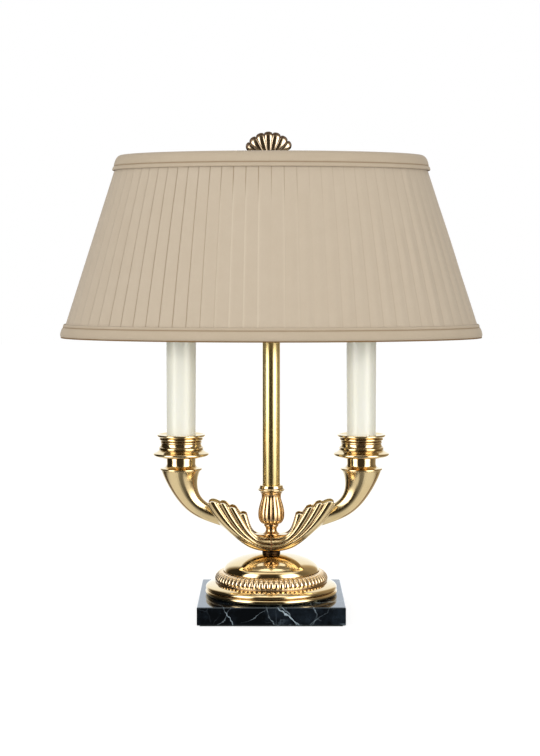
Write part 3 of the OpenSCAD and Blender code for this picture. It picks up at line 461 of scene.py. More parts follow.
def candle_cover_material():
    s = Shader("cover_ivory", linear(250, 249, 236), 0.38)
    for socket, value in (("Subsurface Weight", 0.06), ("Subsurface Scale", 1.0),
                          ("Subsurface Radius", (0.003, 0.0025, 0.0015)), ("Coat Weight", 0.35),
                          ("Coat Roughness", 0.16)):
        s.set(socket, value)
    drift = s.noise(1.0, 3, 0.5, s.mapped((55, 55, 9)))
    s.set("Base Color", s.mix(s.ramp(drift, [(0.35, 0.0), (0.8, 0.5)]), linear(250, 249, 236),
                              linear(242, 240, 216)))
    s.bump(s.noise(1.0, 3, 0.5, s.mapped((260, 260, 40))), 0.05, 0.0003)
    return s.mat


def bulb_glass_material():
    s = Shader("bulb_soft_white", linear(246, 244, 236), 0.25)
    s.set("Transmission Weight", 0.25)
    s.set("Subsurface Weight", 0.3)
    s.set("Subsurface Radius", (0.01, 0.01, 0.01))
    s.set("Roughness", s.ramp(s.noise(60, 2, 0.5), [(0.3, 0.2), (0.8, 0.32)]))
    return s.mat


MAT["cover"] = candle_cover_material()
MAT["bulb"] = bulb_glass_material()


def dress(obj, material, body, slot, *nodes):
    """Gives a new piece its material and body, and hides the CAD nodes it stands for.
    The slot is not used.
    """
    obj.data.materials.append(MAT[material])
    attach(obj, body)
    if nodes:
        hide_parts(*nodes)


# -------------------- base

FOOT_OUTLINE = [
    (0.952, 0.0, "c"), (0.972, 0.02), (0.988, 0.08), (0.997, 0.16), (1.0, 0.235),
    (0.996, 0.32), (0.986, 0.385), (0.974, 0.418, "c"), (0.968, 0.425, "c"),
    (0.968, 0.45, "c"), (0.976, 0.458, "c"), (0.986, 0.49), (0.993, 0.55), (0.993, 0.62),
    (0.984, 0.71), (0.965, 0.79), (0.936, 0.865), (0.905, 0.925), (0.882, 0.96),
    (0.868, 0.985, "c"), (0.86, 1.0, "c"), (0.63, 1.0, "c"), (0.63, 0.84, "c"),
    (0.84, 0.82, "c"), (0.925, 0.7), (0.938, 0.3), (0.94, 0.0, "c"),
]
foot = lathe("foot_turned", share(FOOT_OUTLINE, FOOT_R, FOOT_H), FOOT_Z, segments=256)
dress(foot, "polished", "lamp", "brass_polished", "foot")


def gadroon():
    """The ring of lobes: each lobe is rounded across and at both of its ends. A row is
    (radius, height, mark), where mark is 0 for plain rows and 1 to 2 down along the lobes."""
    steps = 16
    n = GADROON_N * steps
    top_r, low = DOME_R + 0.4, 0.2 * GADROON_H
    arc = [(top_r + (GADROON_R - top_r) * math.cos(a),
            low + (GADROON_H - low) * math.sin(a))
           for a in (math.pi / 2 * (1 - k / 12) for k in range(13))]
    inner = 47.0
    rows = [(inner, 0.0, 0), (inner, GADROON_H - 0.02, 0), (DOME_R - 0.6, GADROON_H - 0.02, 0),
            (DOME_R - 0.2, GADROON_H - 0.9, 0)]
    rows += [(r, z, 1 + k / 12) for k, (r, z) in enumerate(arc)]
    rows += [(GADROON_R - 0.5, low - 0.5, 2.02), (GADROON_R - 1.5, low - 0.9, 0),
             (GADROON_R - 0.9, low - 1.15, 0), (GADROON_R - 0.7, low - 1.6, 0),
             (GADROON_R - 1.0, low - 2.05, 0), (GADROON_R - 1.2, 0.0, 0)]
    verts, hollows = [], []
    for r, z, mark in rows:
        for j in range(n):
            t = 2 * math.pi * j / n
            s = 2 * ((j % steps) / steps) - 1
            # the plain rows under and above the lobes get painted shade at half strength
            sink, patina_and_shade = 0.0, 0.5      # the plain rows under and above the lobes
            if mark:
                v = min(mark - 1, 1.0)
                end = min(1.0, (1 - v) / 0.16, (v + 0.02) / 0.2)
                width = math.sqrt(max(0.0, 1 - (1 - end) ** 2))
                x = abs(s) / max(width, 0.05)
                lobe = math.sqrt(1 - 0.98 * x * x) if x < 1 else 0.14
                sink = 1.75 * (1 - lobe * (0.4 + 0.6 * width))
                # painted shade in the gaps between lobes
                patina_and_shade = max(0.0, (abs(s) - 0.72) / 0.28) ** 1.5
            rr = r - 0.9 * sink
            zz = z - (0.35 * sink if mark < 1.6 else 0)
            verts.append((rr * math.cos(t), rr * math.sin(t), RING_Z + zz))
            hollows.append(patina_and_shade)
    obj = make_mesh("gadroon_lobes", verts, grid_faces(len(rows), n, wrap_rows=True))
    set_attribute(obj, "patina_and_shade", hollows)
    return obj


gadroons = gadroon()
dress(gadroons, "gadroon", "lamp", "brass_polished", "gadroon_ring")

top_angle = math.acos(SPACER_R / DOME_R)
dome_outline = [(DOME_R * math.cos(top_angle * i / 40), DOME_H * math.sin(top_angle * i / 40))
                for i in range(41)]
dome_outline[0] += ("c",)
dome_outline[-1] += ("c",)
dome_outline += [(BORE_R, dome_outline[-1][1], "c"), (BORE_R, dome_outline[-1][1] - 2.4, "c"),
                 (30.0, 13.0), (42.0, 8.5), (48.2, 2.8), (49.4, 0.0, "c")]
dome = lathe("dome_turned", dome_outline, DOME_Z, segments=256, per=1)
dress(dome, "polished", "lamp", "brass_polished", "dome")

spacer = lathe("arm_spacer_turned", [(SPACER_R - 0.3, 0, "c"), (SPACER_R, 0.4), (SPACER_R, 1.9),
                                     (SPACER_R - 0.3, SPACER_H, "c"), (BORE_R, SPACER_H, "c"),
                                     (BORE_R, 0, "c")],
               SPACER_Z, segments=96)
dress(spacer, "blackened", "lamp", "dark_spacer", "arm_spacer")

# -------------------- arms

FAN_LINES = np.array([[(19, 18.8), (20.5, 16)], [(18.5, 14.8), (18.5, 13.7)],
                      [(19.5, 9.8), (30.5, 18.5)], [(17, 5.4), (39, 18)],
                      [(20, 2.8), (50, 22)], [(27, 0), (29, 7)]])
RIB_ENDS = np.array([[(26.6, 40.4), (33.6, 40.8)], [(38.2, 47.6), (45.4, 48.2)],
                     [(48.8, 52.2), (56.0, 52.6)], [(59.2, 54.4), (68.4, 53.8)],
                     [(69.3, 52.0), (54.5, 27.2)]])
RIB_DEPTHS = [(0.52, 0.70), (0.72, 0.77), (0.88, 0.82), (0.96, 0.84), (0.88, 0.83), (0, 0)]
RIB_SWELL = [(0.9, 1.5), (1.3, 1.9), (1.4, 2.1), (1.0, 2.3), (0.4, 0.8)]
KEEL = 4                 # the last of the ribs is the keel underneath
TIP_ROUND = 1.6
FAN_FLAT = 19            # half length of the fan's level top


def lerp(a, b, t):
    return a + (b - a) * t


def smoothstep(a, b, x):
    t = min(max((x - a) / (b - a), 0.0), 1.0)
    return t * t * (3 - 2 * t)


def bez(p, t):
    return sum(c * np.array(q, float) for c, q in zip(
        ((1 - t) ** 3, 3 * (1 - t) ** 2 * t, 3 * (1 - t) * t * t, t ** 3), p))


def fan_plane(u, rib, f):
    w = math.sin(math.pi / 2 * f) if rib == KEEL else f
    p1, p2 = lerp(FAN_LINES[rib], FAN_LINES[rib + 1], w)
    corner = lerp(*RIB_ENDS[rib], w)
    tip = 0 if rib == KEEL else TIP_ROUND * 4 * f * (1 - f)
    d = corner - p2
    return bez([(0, p1[1]), p1, p2, corner + tip * d / np.linalg.norm(d)], u)


def rib_depth(u, rib, f):
    a, b = (lerp(*d, u) for d in RIB_DEPTHS[rib:rib + 2])
    if rib == KEEL:
        return FAN_DEPTH * a * math.cos(math.pi / 2 * f)
    return FAN_DEPTH * lerp(a, b, f)


def fan_point(u, rib, f, inner):
    p = fan_plane(u, rib, f)
    if not inner:
        # near the lamp's axis the ribs are cut like steps, so that most of each faces up
        out = smoothstep(0.08, 0.5, u)
        g = f ** lerp(2.0, 0.85, out)
        swell = lerp(*RIB_SWELL[rib], u) * (4 * g * (1 - g)) ** 0.5
        swell *= lerp(0.5, 1.2, out)
        if rib == KEEL:
            swell *= math.cos(math.pi / 2 * f)
        else:
            swell += 2.2 * (1 - out) * (f - 0.35)
        return (p[0], rib_depth(u, rib, f) + swell, p[1])
    c = (rib + f) / (KEEL + 1)
    seam = (FAN_DEPTH * RIB_DEPTHS[0][0] - FAN_WALL) * (1 - c * c)
    if rib == KEEL:
        side = (rib_depth(u, rib, 0) - FAN_WALL) * math.cos(math.pi / 2 * f)
    else:
        side = rib_depth(u, rib, f) - FAN_WALL
    floor = FAN_H + 0.6 * max(0.0, p[0] - FAN_FLAT)
    return (p[0], lerp(seam, side, u), max(p[1], floor))


HORN_OUTER = [(54, 26.8), (90.7, 38.6), (97.8, 42.8), (120.1, 88.5)]
HORN_INNER = [(58, 47), (81.8, 56.1), (82.5, 66.4), (76.5, 88.5)]


def horn_section(t):
    a, b = bez(HORN_OUTER, t), bez(HORN_INNER, t)
    c, r = (a + b) / 2, np.linalg.norm(a - b) / 2
    return (lerp(c[0], ARM_REACH, t ** 6), c[1]), r, (a - b) / np.linalg.norm(a - b)


# half of the horn's section, from its inner side (-1) to its outer side (1): two broad
# faces that meet in a soft ridge, and narrow sides beyond two soft edges
HORN_SECTION = [(-1, 0), (-0.93, 0.24), (-0.8, 0.48), (-0.68, 0.61), (-0.6, 0.65),
                (-0.3, 0.78), (-0.1, 0.83), (0.1, 0.79), (0.45, 0.64), (0.74, 0.5),
                (0.81, 0.45), (0.93, 0.24), (1, 0)]
HORN_HALF = [(float(p[0]), float(p[1])) for p in catmull(HORN_SECTION, 3)]


def horn_ring(c, r, slope, t):
    """One section of the horn, round again at its mouth."""
    half = []
    for w, d in HORN_HALF:
        q = math.atan2(d, w)
        k = t ** 3
        half.append((lerp(w, math.cos(q), k), lerp(d, math.sin(q), k)))
    ring = half + [(w, -d) for w, d in half[-2:0:-1]]
    return [(c[0] + r * w * slope[0], r * d, ARM_Z + c[1] + r * w * slope[1]) for w, d in ring]


def horn_edges(co):
    """1 along the two soft edges of the horn's front and back faces, for points in mm: where
    a dark reflection line is painted.
    """
    x, z = np.abs(co[:, 0]), co[:, 2] - ARM_Z
    best, line = np.full(len(co), 1e9), np.zeros(len(co))
    for i in range(10, 61):
        c, r, slope = horn_section(i / 60)
        dx, dz = x - c[0], z - c[1]
        along = np.abs(dx * slope[1] - dz * slope[0])
        w = (dx * slope[0] + dz * slope[1]) / r
        close = along < best
        best = np.where(close, along, best)
        edge = np.exp(-((w - 0.79) * r / 0.6) ** 2) + 0.8 * np.exp(-((w + 0.70) * r / 0.6) ** 2)
        line = np.where(close, edge * min(1.0, (i - 10) / 8), line)
    return np.where((best < 3) & (z < ARM_RISE - 2), line, 0)


def tube_faces(rows, m, start=0):
    """Faces of an open tube from rows of m points."""
    return [(a + j, a + m + j, a + m + (j + 1) % m, a + (j + 1) % m)
            for a in (start + i * m for i in range(rows - 1)) for j in range(m)]


def closed_tube_faces(rows, m):
    """The same with ends, for rows of two lines back to back."""
    faces = tube_faces(rows, m)
    last = (rows - 1) * m
    for j in range(m // 2 - 1):
        faces.append((j, j + 1, m - 2 - j, m - 1 - j))
        faces.append((last + m - 1 - j, last + m - 2 - j, last + j + 1, last + j))
    return faces


def arm_mesh(name):
    verts = []
    per, rows = 9, 45
    cols = [(rib, 0.015 + 0.97 * k / (per - 1)) for rib in range(KEEL + 1) for k in range(per)]
    cols[-1] = (KEEL, 1.0)
    for u in (i / (rows - 1) for i in range(rows)):
        out = [fan_point(u, r, f, False) for r, f in cols]
        inn = [fan_point(u, r, f, True) for r, f in cols]
        row = [(p[0], -p[1], p[2]) for p in out] + out[-2::-1] + inn
        row += [(p[0], -p[1], p[2]) for p in inn[-2::-1]]
        verts += [(p[0], p[1], p[2] + ARM_Z) for p in row]
    faces = closed_tube_faces(rows, len(row))
    # the horn starts inside the fan
    sides, steps = 2 * len(HORN_HALF) - 2, 48
    start = len(verts)
    rings = [((44, 29.5), 5.0, horn_section(0)[2], 0.0)]
    rings += [horn_section(i / steps) + (i / steps,) for i in range(steps + 1)]
    for c, r, slope, t in rings:
        verts += horn_ring(c, r, slope, t)
    faces += tube_faces(len(rings), sides, start)
    faces.append(tuple(range(start, start + sides)))
    faces.append(tuple(range(len(verts) - 1, len(verts) - 1 - sides, -1)))
    return make_mesh(name, verts, faces)


def make_arm(name, mirrored):
    arm = arm_mesh(name)
    if mirrored:
        arm.data.transform(Matrix.Scale(-1, 4, Vector((1, 0, 0))))
        arm.data.flip_normals()
    size, steps = ((0.4, 2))
    voxel_solid(arm, size, steps)
    # grooves get patina and painted shade, the seam its dark joint, and the horn's edges painted
    # dark reflection lines
    patina_and_shade, co = mesh_hollows(arm, int((1.0 / size) ** 2), 0.24)
    seam = np.clip(1.6 - np.abs(co[:, 0]) / 0.35, 0, 1)
    set_attribute(arm, "patina_and_shade", np.maximum(np.maximum(patina_and_shade, seam), 0.8 * horn_edges(co)))
    return arm


for word in ("right", "left"):
    arm = make_arm(f"arm_{word}_cast", word == "left")
    dress(arm, "satin", "lamp", "brass_satin", f"arm_{word}")

# -------------------- vase, collar and column

VASE_OUTLINE = [
    (0.62, 0, 0), (0.6, 0.012, 0), (0.52, 0.035, 0), (0.435, 0.065, 0), (0.41, 0.095, 0),
    (0.42, 0.13, 0), (0.455, 0.155, 0), (0.5, 0.175, 0), (0.545, 0.2, 0), (0.56, 0.235, 0),
    (0.735, 0.256, 0.4), (0.873, 0.305, 1), (0.972, 0.377, 1), (1, 0.45, 1), (1, 0.521, 1),
    (0.958, 0.618, 1), (0.882, 0.713, 1), (0.788, 0.81, 1), (0.743, 0.859, 0.8),
    (0.743, 0.932, 0.3), (0.79, 0.975, 0), (0.84, 1, 0),
]
REED_DEPTH = 0.9


def vase():
    """Reeds with narrow grooves between them, one groove at the middle of the front."""
    prof = catmull([(r * VASE_R, h * VASE_H, k) for r, h, k in VASE_OUTLINE], 6)
    turned = profile_hollows([(r, z) for r, z, _ in prof], False)
    steps = 24
    n = REEDS * steps
    verts, hollows = [], []
    for (r, z, k), base in zip(prof, turned):
        k = max(0.0, min(1.0, k))
        for j in range(n):
            t = 2 * math.pi * j / n
            s = 2 * (j % steps) / steps - 1
            rr = r - 1.1 * REED_DEPTH * k * (1 - math.sqrt(1 - 0.985 * s * s))
            verts.append((rr * math.cos(t), rr * math.sin(t), VASE_Z + z))
            # painted shade in the grooves between reeds, over the turned grooves' patina and
            # painted shade
            hollows.append(max(base, k * max(0.0, (abs(s) - 0.72) / 0.28) ** 2))
    for z in (VASE_H, 0.0):
        verts += [(BORE_R * math.cos(2 * math.pi * j / n), BORE_R * math.sin(2 * math.pi * j / n),
                   VASE_Z + z) for j in range(n)]
        hollows += [0.0] * n
    obj = make_mesh("vase_reeded", verts, grid_faces(len(prof) + 2, n, wrap_rows=True))
    set_attribute(obj, "patina_and_shade", hollows)
    return obj


dress(vase(), "reeded", "lamp", "brass_dark", "vase")

COLLAR_OUTLINE = [
    (0.845, 0, "c"), (0.89, 0.16), (0.96, 0.24), (0.995, 0.32), (0.995, 0.42), (0.94, 0.5),
    (0.9, 0.57, "c"), (0.885, 0.7), (0.868, 0.85), (0.845, 0.96), (0.8, 1, "c"),
    (0.6625, 1, "c"), (0.6625, 0.63, "c"), (0.36, 0.62, "c"), (0.36, 0, "c"),
]
collar = lathe("collar_turned", share(COLLAR_OUTLINE, VASE_R, COLLAR_H), COLLAR_Z, segments=128)
dress(collar, "polished", "lamp", "brass_polished", "column_collar")

column = lathe("column_drawn", [
    (COLUMN_R - 0.15, 0, "c"), (COLUMN_R, 0.15, "c"), (COLUMN_R, COLUMN_LEN - 0.15, "c"),
    (COLUMN_R - 0.15, COLUMN_LEN, "c"), (COLUMN_R - COLUMN_WALL, COLUMN_LEN, "c"),
    (COLUMN_R - COLUMN_WALL, 0, "c")], COLUMN_Z, segments=128)
dress(column, "column", "lamp", "brass_satin", "column_tube")

# -------------------- necks, cups, candles, bulbs

NECK_OUTLINE = [
    (STEM_BORE_R, 0, "c"), (LIP_R - 0.9, 0, "c"), (LIP_R - 0.25, 0.35), (LIP_R, 1.1),
    (LIP_R - 0.25, 1.85), (LIP_R - 1.0, 2.25, "c"), (20.4, 2.5), (18.6, 2.95), (17.2, 3.7),
    (16.25, 4.8), (NECK_R + 0.05, 6.0), (NECK_R, 8.0), (NECK_R, NECK_H - 0.6),
    (NECK_R - 0.4, NECK_H, "c"), (STEM_BORE_R, NECK_H, "c"),
]
CUP_OUTLINE = [
    (0.53, 0.0, "c"), (0.80, 0.004), (0.93, 0.045), (0.985, 0.09), (1.0, 0.13), (0.99, 0.17),
    (0.955, 0.20), (0.895, 0.235), (0.84, 0.275), (0.80, 0.315), (0.775, 0.345, "c"),
    (0.79, 0.362), (0.802, 0.40), (0.79, 0.438), (0.765, 0.455, "c"), (0.75, 0.48),
    (0.732, 0.53), (0.72, 0.585), (0.716, 0.62, "c"), (0.736, 0.635), (0.748, 0.665),
    (0.736, 0.695), (0.712, 0.71, "c"), (0.712, 0.728, "c"), (0.76, 0.745), (0.788, 0.785),
    (0.78, 0.825), (0.76, 0.84, "c"), (0.785, 0.856), (0.83, 0.89), (0.862, 0.925),
    (0.868, 0.955), (0.858, 0.985), (0.835, 1.0), (0.80, 0.99), (0.72, 0.945), (0.60, 0.90),
    (0.527, 0.87, "c"), (0.527, 0.382, "c"), (0.475, 0.382, "c"), (0.475, 0.14, "c"),
    (0.167, 0.14, "c"), (0.167, 0.0, "c"),
]
GLASS_OUTLINE = [
    (0.0, 0.0, "c"), (0.715, 0, "c"), (0.72, 0.1), (0.725, 0.21), (0.77, 0.27), (0.87, 0.35),
    (0.955, 0.43), (1, 0.52), (0.985, 0.6), (0.92, 0.69), (0.8, 0.78), (0.63, 0.86),
    (0.42, 0.93), (0.22, 0.98), (0.03, 0.999), (0.0, 1.0, "c"),
]


def bulb_cap(name, x):
    """Screw cap with a rolled thread, an insulator and a contact."""
    prof = [(0.01, 0.0), (3.6, 0.0), (4.3, 0.5), (4.6, 1.2), (8.6, 3.4), (10.6, 4.4), (12.2, 5.4)]
    low, pitch, steps = 5.8, 3.6, 56
    for i in range(steps + 1):
        z = low + i * (CAP_LEN - 2.4 - low) / steps
        prof.append((12.55 + 0.42 * math.cos(2 * math.pi * (z - low) / pitch), z))
    prof += [(12.6, CAP_LEN - 2.2), (12.7, CAP_LEN - 0.2), (12.4, CAP_LEN), (0.01, CAP_LEN)]
    return revolve(name, prof, SOCKET_TOP - CAP_LEN, x, 96)


for side, word in ((-1, "left"), (1, "right")):
    x = side * ARM_REACH
    neck = lathe(f"neck_{word}_turned", NECK_OUTLINE, MOUTH_Z, x, 128)
    dress(neck, "polished", "lamp", "brass_polished", f"neck_{word}")
    cup = lathe(f"cup_{word}_turned", share(CUP_OUTLINE, CUP_R, CUP_H), CUP_Z, x)
    dress(cup, "polished", "lamp", "brass_polished", f"candle_cup_{word}")
    cover = lathe(f"cover_{word}_sleeve", [
        (COVER_R - 0.25, 0, "c"), (COVER_R, 0.3), (COVER_R, 20), (COVER_R, COVER_LEN - 0.6),
        (COVER_R - 0.2, COVER_LEN - 0.15), (COVER_R - 0.6, COVER_LEN),
        (COVER_R - COVER_WALL + 0.05, COVER_LEN - 0.2, "c"), (COVER_R - COVER_WALL, 0, "c")],
        LEDGE_Z, x, 128)
    dress(cover, "cover", f"cover_{word}", "cover_ivory", f"candle_cover_{word}")
    glass = lathe(f"bulb_{word}_glass", share(GLASS_OUTLINE, BULB_R, GLASS_LEN), SOCKET_TOP, x, 96,
                  closed=False)
    dress(glass, "bulb", f"bulb_{word}", "bulb_white", f"bulb_glass_{word}")
    cap = bulb_cap(f"bulb_{word}_cap", x)
    dress(cap, "aluminium", f"bulb_{word}", "bulb_cap_metal", f"bulb_cap_{word}")

# -------------------- shade


def cloth_a(z):
    return lerp(SHADE_BOTTOM_A, SHADE_TOP_A, (z - SHADE_BOTTOM_Z) / SHADE_H)


# a quarter of the oval: share of its length against angle, from the front's middle to the end
ARC_ANGLE = np.linspace(-math.pi / 2, 0, 2001)
ARC_SHARE = np.concatenate([[0], np.cumsum(np.hypot(
    np.diff(np.cos(ARC_ANGLE)), np.diff(SHADE_OVAL * np.sin(ARC_ANGLE))))])
ARC_SHARE /= ARC_SHARE[-1]
PLEAT_DRIFT = 0.22       # how far the pleats crowd towards the ends at the shade's top


def oval_point(s, z, d):
    """s runs once round the shade by arc length from the front's middle; d is outwards."""
    quarter = s * 4
    k = math.floor(quarter)
    q = quarter - k
    if k % 2:
        q = 1 - q
    v = min(max((z - SHADE_BOTTOM_Z) / SHADE_H, 0.0), 1.0)
    q = q + PLEAT_DRIFT * v * q * (1 - q)
    ang = float(np.interp(q, ARC_SHARE, ARC_ANGLE))
    a = cloth_a(z)
    cx, cy = math.cos(ang), math.sin(ang)
    x, y = (a + d) * cx, (a * SHADE_OVAL + d) * cy
    # quarters: 0 front right, 1 back right, 2 back left, 3 front left
    if k % 4 in (1, 2):
        y = -y
    if k % 4 in (2, 3):
        x = -x
    return (x, y, z)


def crisp(p):
    """Knife pleat: a flat strip that rises to a fold edge and drops under it."""
    return float(np.interp(p, (0.0, 0.08, 0.4, 0.8, 0.95, 0.985, 1.0),
                           (0.0, 0.16, 0.5, 0.86, 1.0, 0.96, 0.0)))


def soft(p):
    """Soft pleat: rises and falls like a wave, sharper at its crest."""
    w = 0.5 - 0.5 * math.cos(2 * math.pi * p)
    return 0.55 * w + 0.45 * (1 - abs(2 * p - 1)) ** 1.3


PLEAT_STEPS = [0.0, 0.05, 0.14, 0.28, 0.42, 0.55, 0.68, 0.80, 0.89, 0.945, 0.97, 0.99]


def pleated_cloth():
    rng = random.Random(SEED)
    z0, z1 = SHADE_BOTTOM_Z + EDGE_IN, SHADE_TOP_Z - EDGE_IN
    rows = 46
    jitter = [rng.uniform(-1, 1) for _ in range(PLEATS + 1)]
    puff = [rng.uniform(0.7, 1.25) for _ in range(PLEATS + 1)]
    verts, folds, crests = [], [], []
    cols = [(k, p) for k in range(PLEATS) for p in PLEAT_STEPS]
    for i in range(rows):
        v = i / (rows - 1)
        z = lerp(z0, z1, v)
        for k, p in cols:
            # fold edges lie towards the shade's two ends, on the front and on the back
            turn = (k + p) / PLEATS
            quarter = int(turn * 4)
            pp = 1 - p if quarter % 2 else p
            shift = jitter[k] * 0.06 / PLEATS * (0.5 + v)
            s = (turn + shift * math.sin(math.pi * p)) % 1.0
            # the left half of each face is pressed crisply, the right half is softer
            x_share = math.sin(2 * math.pi * turn) * (1 if quarter in (0, 3) else -1)
            ease = smoothstep(-0.12, 0.30, x_share)
            # at the front's middle the folds open out below, and only their edges still show
            middle = 1 - smoothstep(0.22, 0.55, abs(x_share))
            open_out = (1 - smoothstep(0.70, 0.90, v)) * middle
            hard = crisp(pp) * PLEAT_RISE * 0.6 * (1 - 0.6 * open_out)
            grow = 0.25 + 0.75 * smoothstep(1.0, 0.35, v) if v > 0.35 else 1.0
            wave = soft(p) * PLEAT_RISE * puff[k] * 0.8 * grow
            d = lerp(hard, wave, ease)
            sag = 0.25 * math.sin(9 * v + 3.1 * jitter[k]) * ease * soft(p)
            verts.append(oval_point(s, z, min(max(d + sag, 0.0), PLEAT_RISE)))
            # painted shade along each fold edge, weaker on the softer right half and where the
            # folds open out
            edge = min(1.0, math.exp(-((1 - pp) / 0.03) ** 2) + math.exp(-(pp / 0.03) ** 2))
            folds.append(edge * (1 - 0.75 * ease) * (1 - open_out))
            # painted highlight along the crests on the crisp left half, strongest at the front's
            # middle below
            crest = math.exp(-((0.93 - pp) / 0.05) ** 2)
            crests.append(crest * (0.25 + 0.6 * open_out) * (1 - ease))
    obj = make_mesh("shade_pleats", verts, grid_faces(rows, len(cols)))
    set_attribute(obj, "fold", folds)
    set_attribute(obj, "crest", crests)
    return obj


def oval_band(name, section, z0, wobble=0.0):
    """A ring round the shade from a section of (push from the cloth, height over z0) or of
    those two with how much painted shade its crease gets there."""
    rng = random.Random(SEED + len(name))
    phases = [rng.uniform(0, 6.28) for _ in range(3)]
    n, turn = 300, 6.283
    verts = []
    for d, z, *_ in section:
        for t in (j / n for j in range(n)):
            waves = math.sin(14 * turn * t + phases[0]) + math.sin(23 * turn * t + phases[1])
            verts.append(oval_point(t, z0 + z, d + wobble * waves))
    obj = make_mesh(name, verts, grid_faces(len(section), n, wrap_rows=True))
    if len(section[0]) == 3:
        set_attribute(obj, "fold", np.repeat([p[2] for p in section], n))
    return obj


pleats = pleated_cloth()
dress(pleats, "cloth", "shade", "pleats", "shade_cloth")

liner_rows = [(-CLOTH_T - GAP, EDGE_IN + i * (SHADE_H - 2 * EDGE_IN) / 12) for i in range(13)]
liner = oval_band("shade_lining", liner_rows + [(d - 0.5, z) for d, z in liner_rows[::-1]],
                  SHADE_BOTTOM_Z)
dress(liner, "lining", "shade", "lining", "shade_liner")

HEM = -CLOTH_T - GAP - LINER_T - GAP - RING_WIRE - GAP
# rows of (push from the cloth, height, painted shade in the crease there)
top_section = [
    (1.6, -1.9, 0), (1.6, -9.0, 0), (1.6, -16.2, 1), (2.4, -16.9, 0.8),
    (3.0, -16.6, 0.2), (3.5, -15.6, 0), (3.65, -14.2, 0), (3.45, -12.9, 0.1),
    (2.9, -12.2, 0.9), (2.75, -11.9, 1), (3.05, -11.5, 0.5), (3.3, -10.6, 0),
    (3.5, -8.6, 0), (3.5, -6.4, 0), (3.2, -4.2, 0), (2.5, -2.5, 0),
    (1.4, -1.1, 0), (-0.2, -0.25, 0), (-2.4, 0.0, 0), (-4.4, -0.1, 0),
    (HEM - 0.6, -0.35, 0), (HEM - 1.2, -1.2, 0), (HEM - 1.2, -3.6, 0.4),
    (HEM - 0.2, -3.6, 0.4), (HEM - 0.1, -2.0, 0), (-2.0, -1.7, 0),
]
top_trim = oval_band("shade_trim_top", top_section, SHADE_TOP_Z, 0.05)
dress(top_trim, "trim", "shade", "trim", "shade_top_trim")

# rows of (push from the cloth, height, painted shade in the crease there)
bottom_section = [
    (1.6, 14.6, 1), (2.3, 15.2, 0.4), (2.9, 14.8, 0), (3.1, 13.7, 0),
    (2.95, 12.5, 0.2), (2.45, 11.9, 1), (2.5, 11.6, 0.9), (2.95, 11.1, 0.2),
    (3.35, 9.8, 0), (3.5, 8.0, 0), (3.5, 6.0, 0), (3.2, 4.0, 0),
    (2.6, 2.5, 0), (1.6, 1.3, 0.2), (0.3, 0.5, 0.6), (-1.4, 0.15, 0.8),
    (HEM - 0.4, 0.1, 0.4), (HEM - 1.2, 1.2, 0), (HEM - 1.2, 9.0, 0.3),
    (HEM - 0.2, 9.0, 0.3), (HEM - 0.1, 1.6, 0), (1.0, 1.9, 0), (1.6, 4.0, 0),
]
bottom_trim = oval_band("shade_trim_bottom", bottom_section, SHADE_BOTTOM_Z, 0.06)
dress(bottom_trim, "trim", "shade", "trim", "shade_bottom_trim")

# a thin dark cord round the bottom edge: painted shadow under the bottom trim
shadow_cord = oval_band("shade_piping", [
    (1.0 + 0.75 * math.cos(a), 0.75 + 0.75 * math.sin(a))
    for a in (2 * math.pi * k / 10 for k in range(10))], SHADE_BOTTOM_Z)
dress(shadow_cord, "shadow_cord", "shade", "trim")

# -------------------- finial

FINIAL_R, FINIAL_BASE_H = 7.6, 11.5
FINIAL_OUTLINE = [
    (0.78, 0, "c"), (0.96, 0.02), (1.04, 0.07), (1.06, 0.12), (1.02, 0.18), (0.9, 0.22, "c"),
    (0.72, 0.25), (0.61, 0.32), (0.62, 0.42), (0.76, 0.49, "c"), (0.94, 0.57), (1.0, 0.66),
    (0.95, 0.75), (0.82, 0.84), (0.68, 0.9), (0.61, 0.96), (0.58, 1.0, "c"), (0.02, 1.0, "c"),
    (0.02, 0.78, "c"), (0.425, 0.78, "c"), (0.425, 0.0, "c"),
]
finial_base = lathe("finial_base_turned", share(FINIAL_OUTLINE, FINIAL_R, FINIAL_BASE_H),
                    FINIAL_Z, segments=96)
dress(finial_base, "bronze", "finial", "finial_bronze", "finial_base")

SHELL_W, SHELL_H, SHELL_T, FLUTES = 27.5, 34.5, 5.5, 7
SPREAD, LEAN, SHELL_SHIFT = math.radians(58), math.radians(2), -2.2


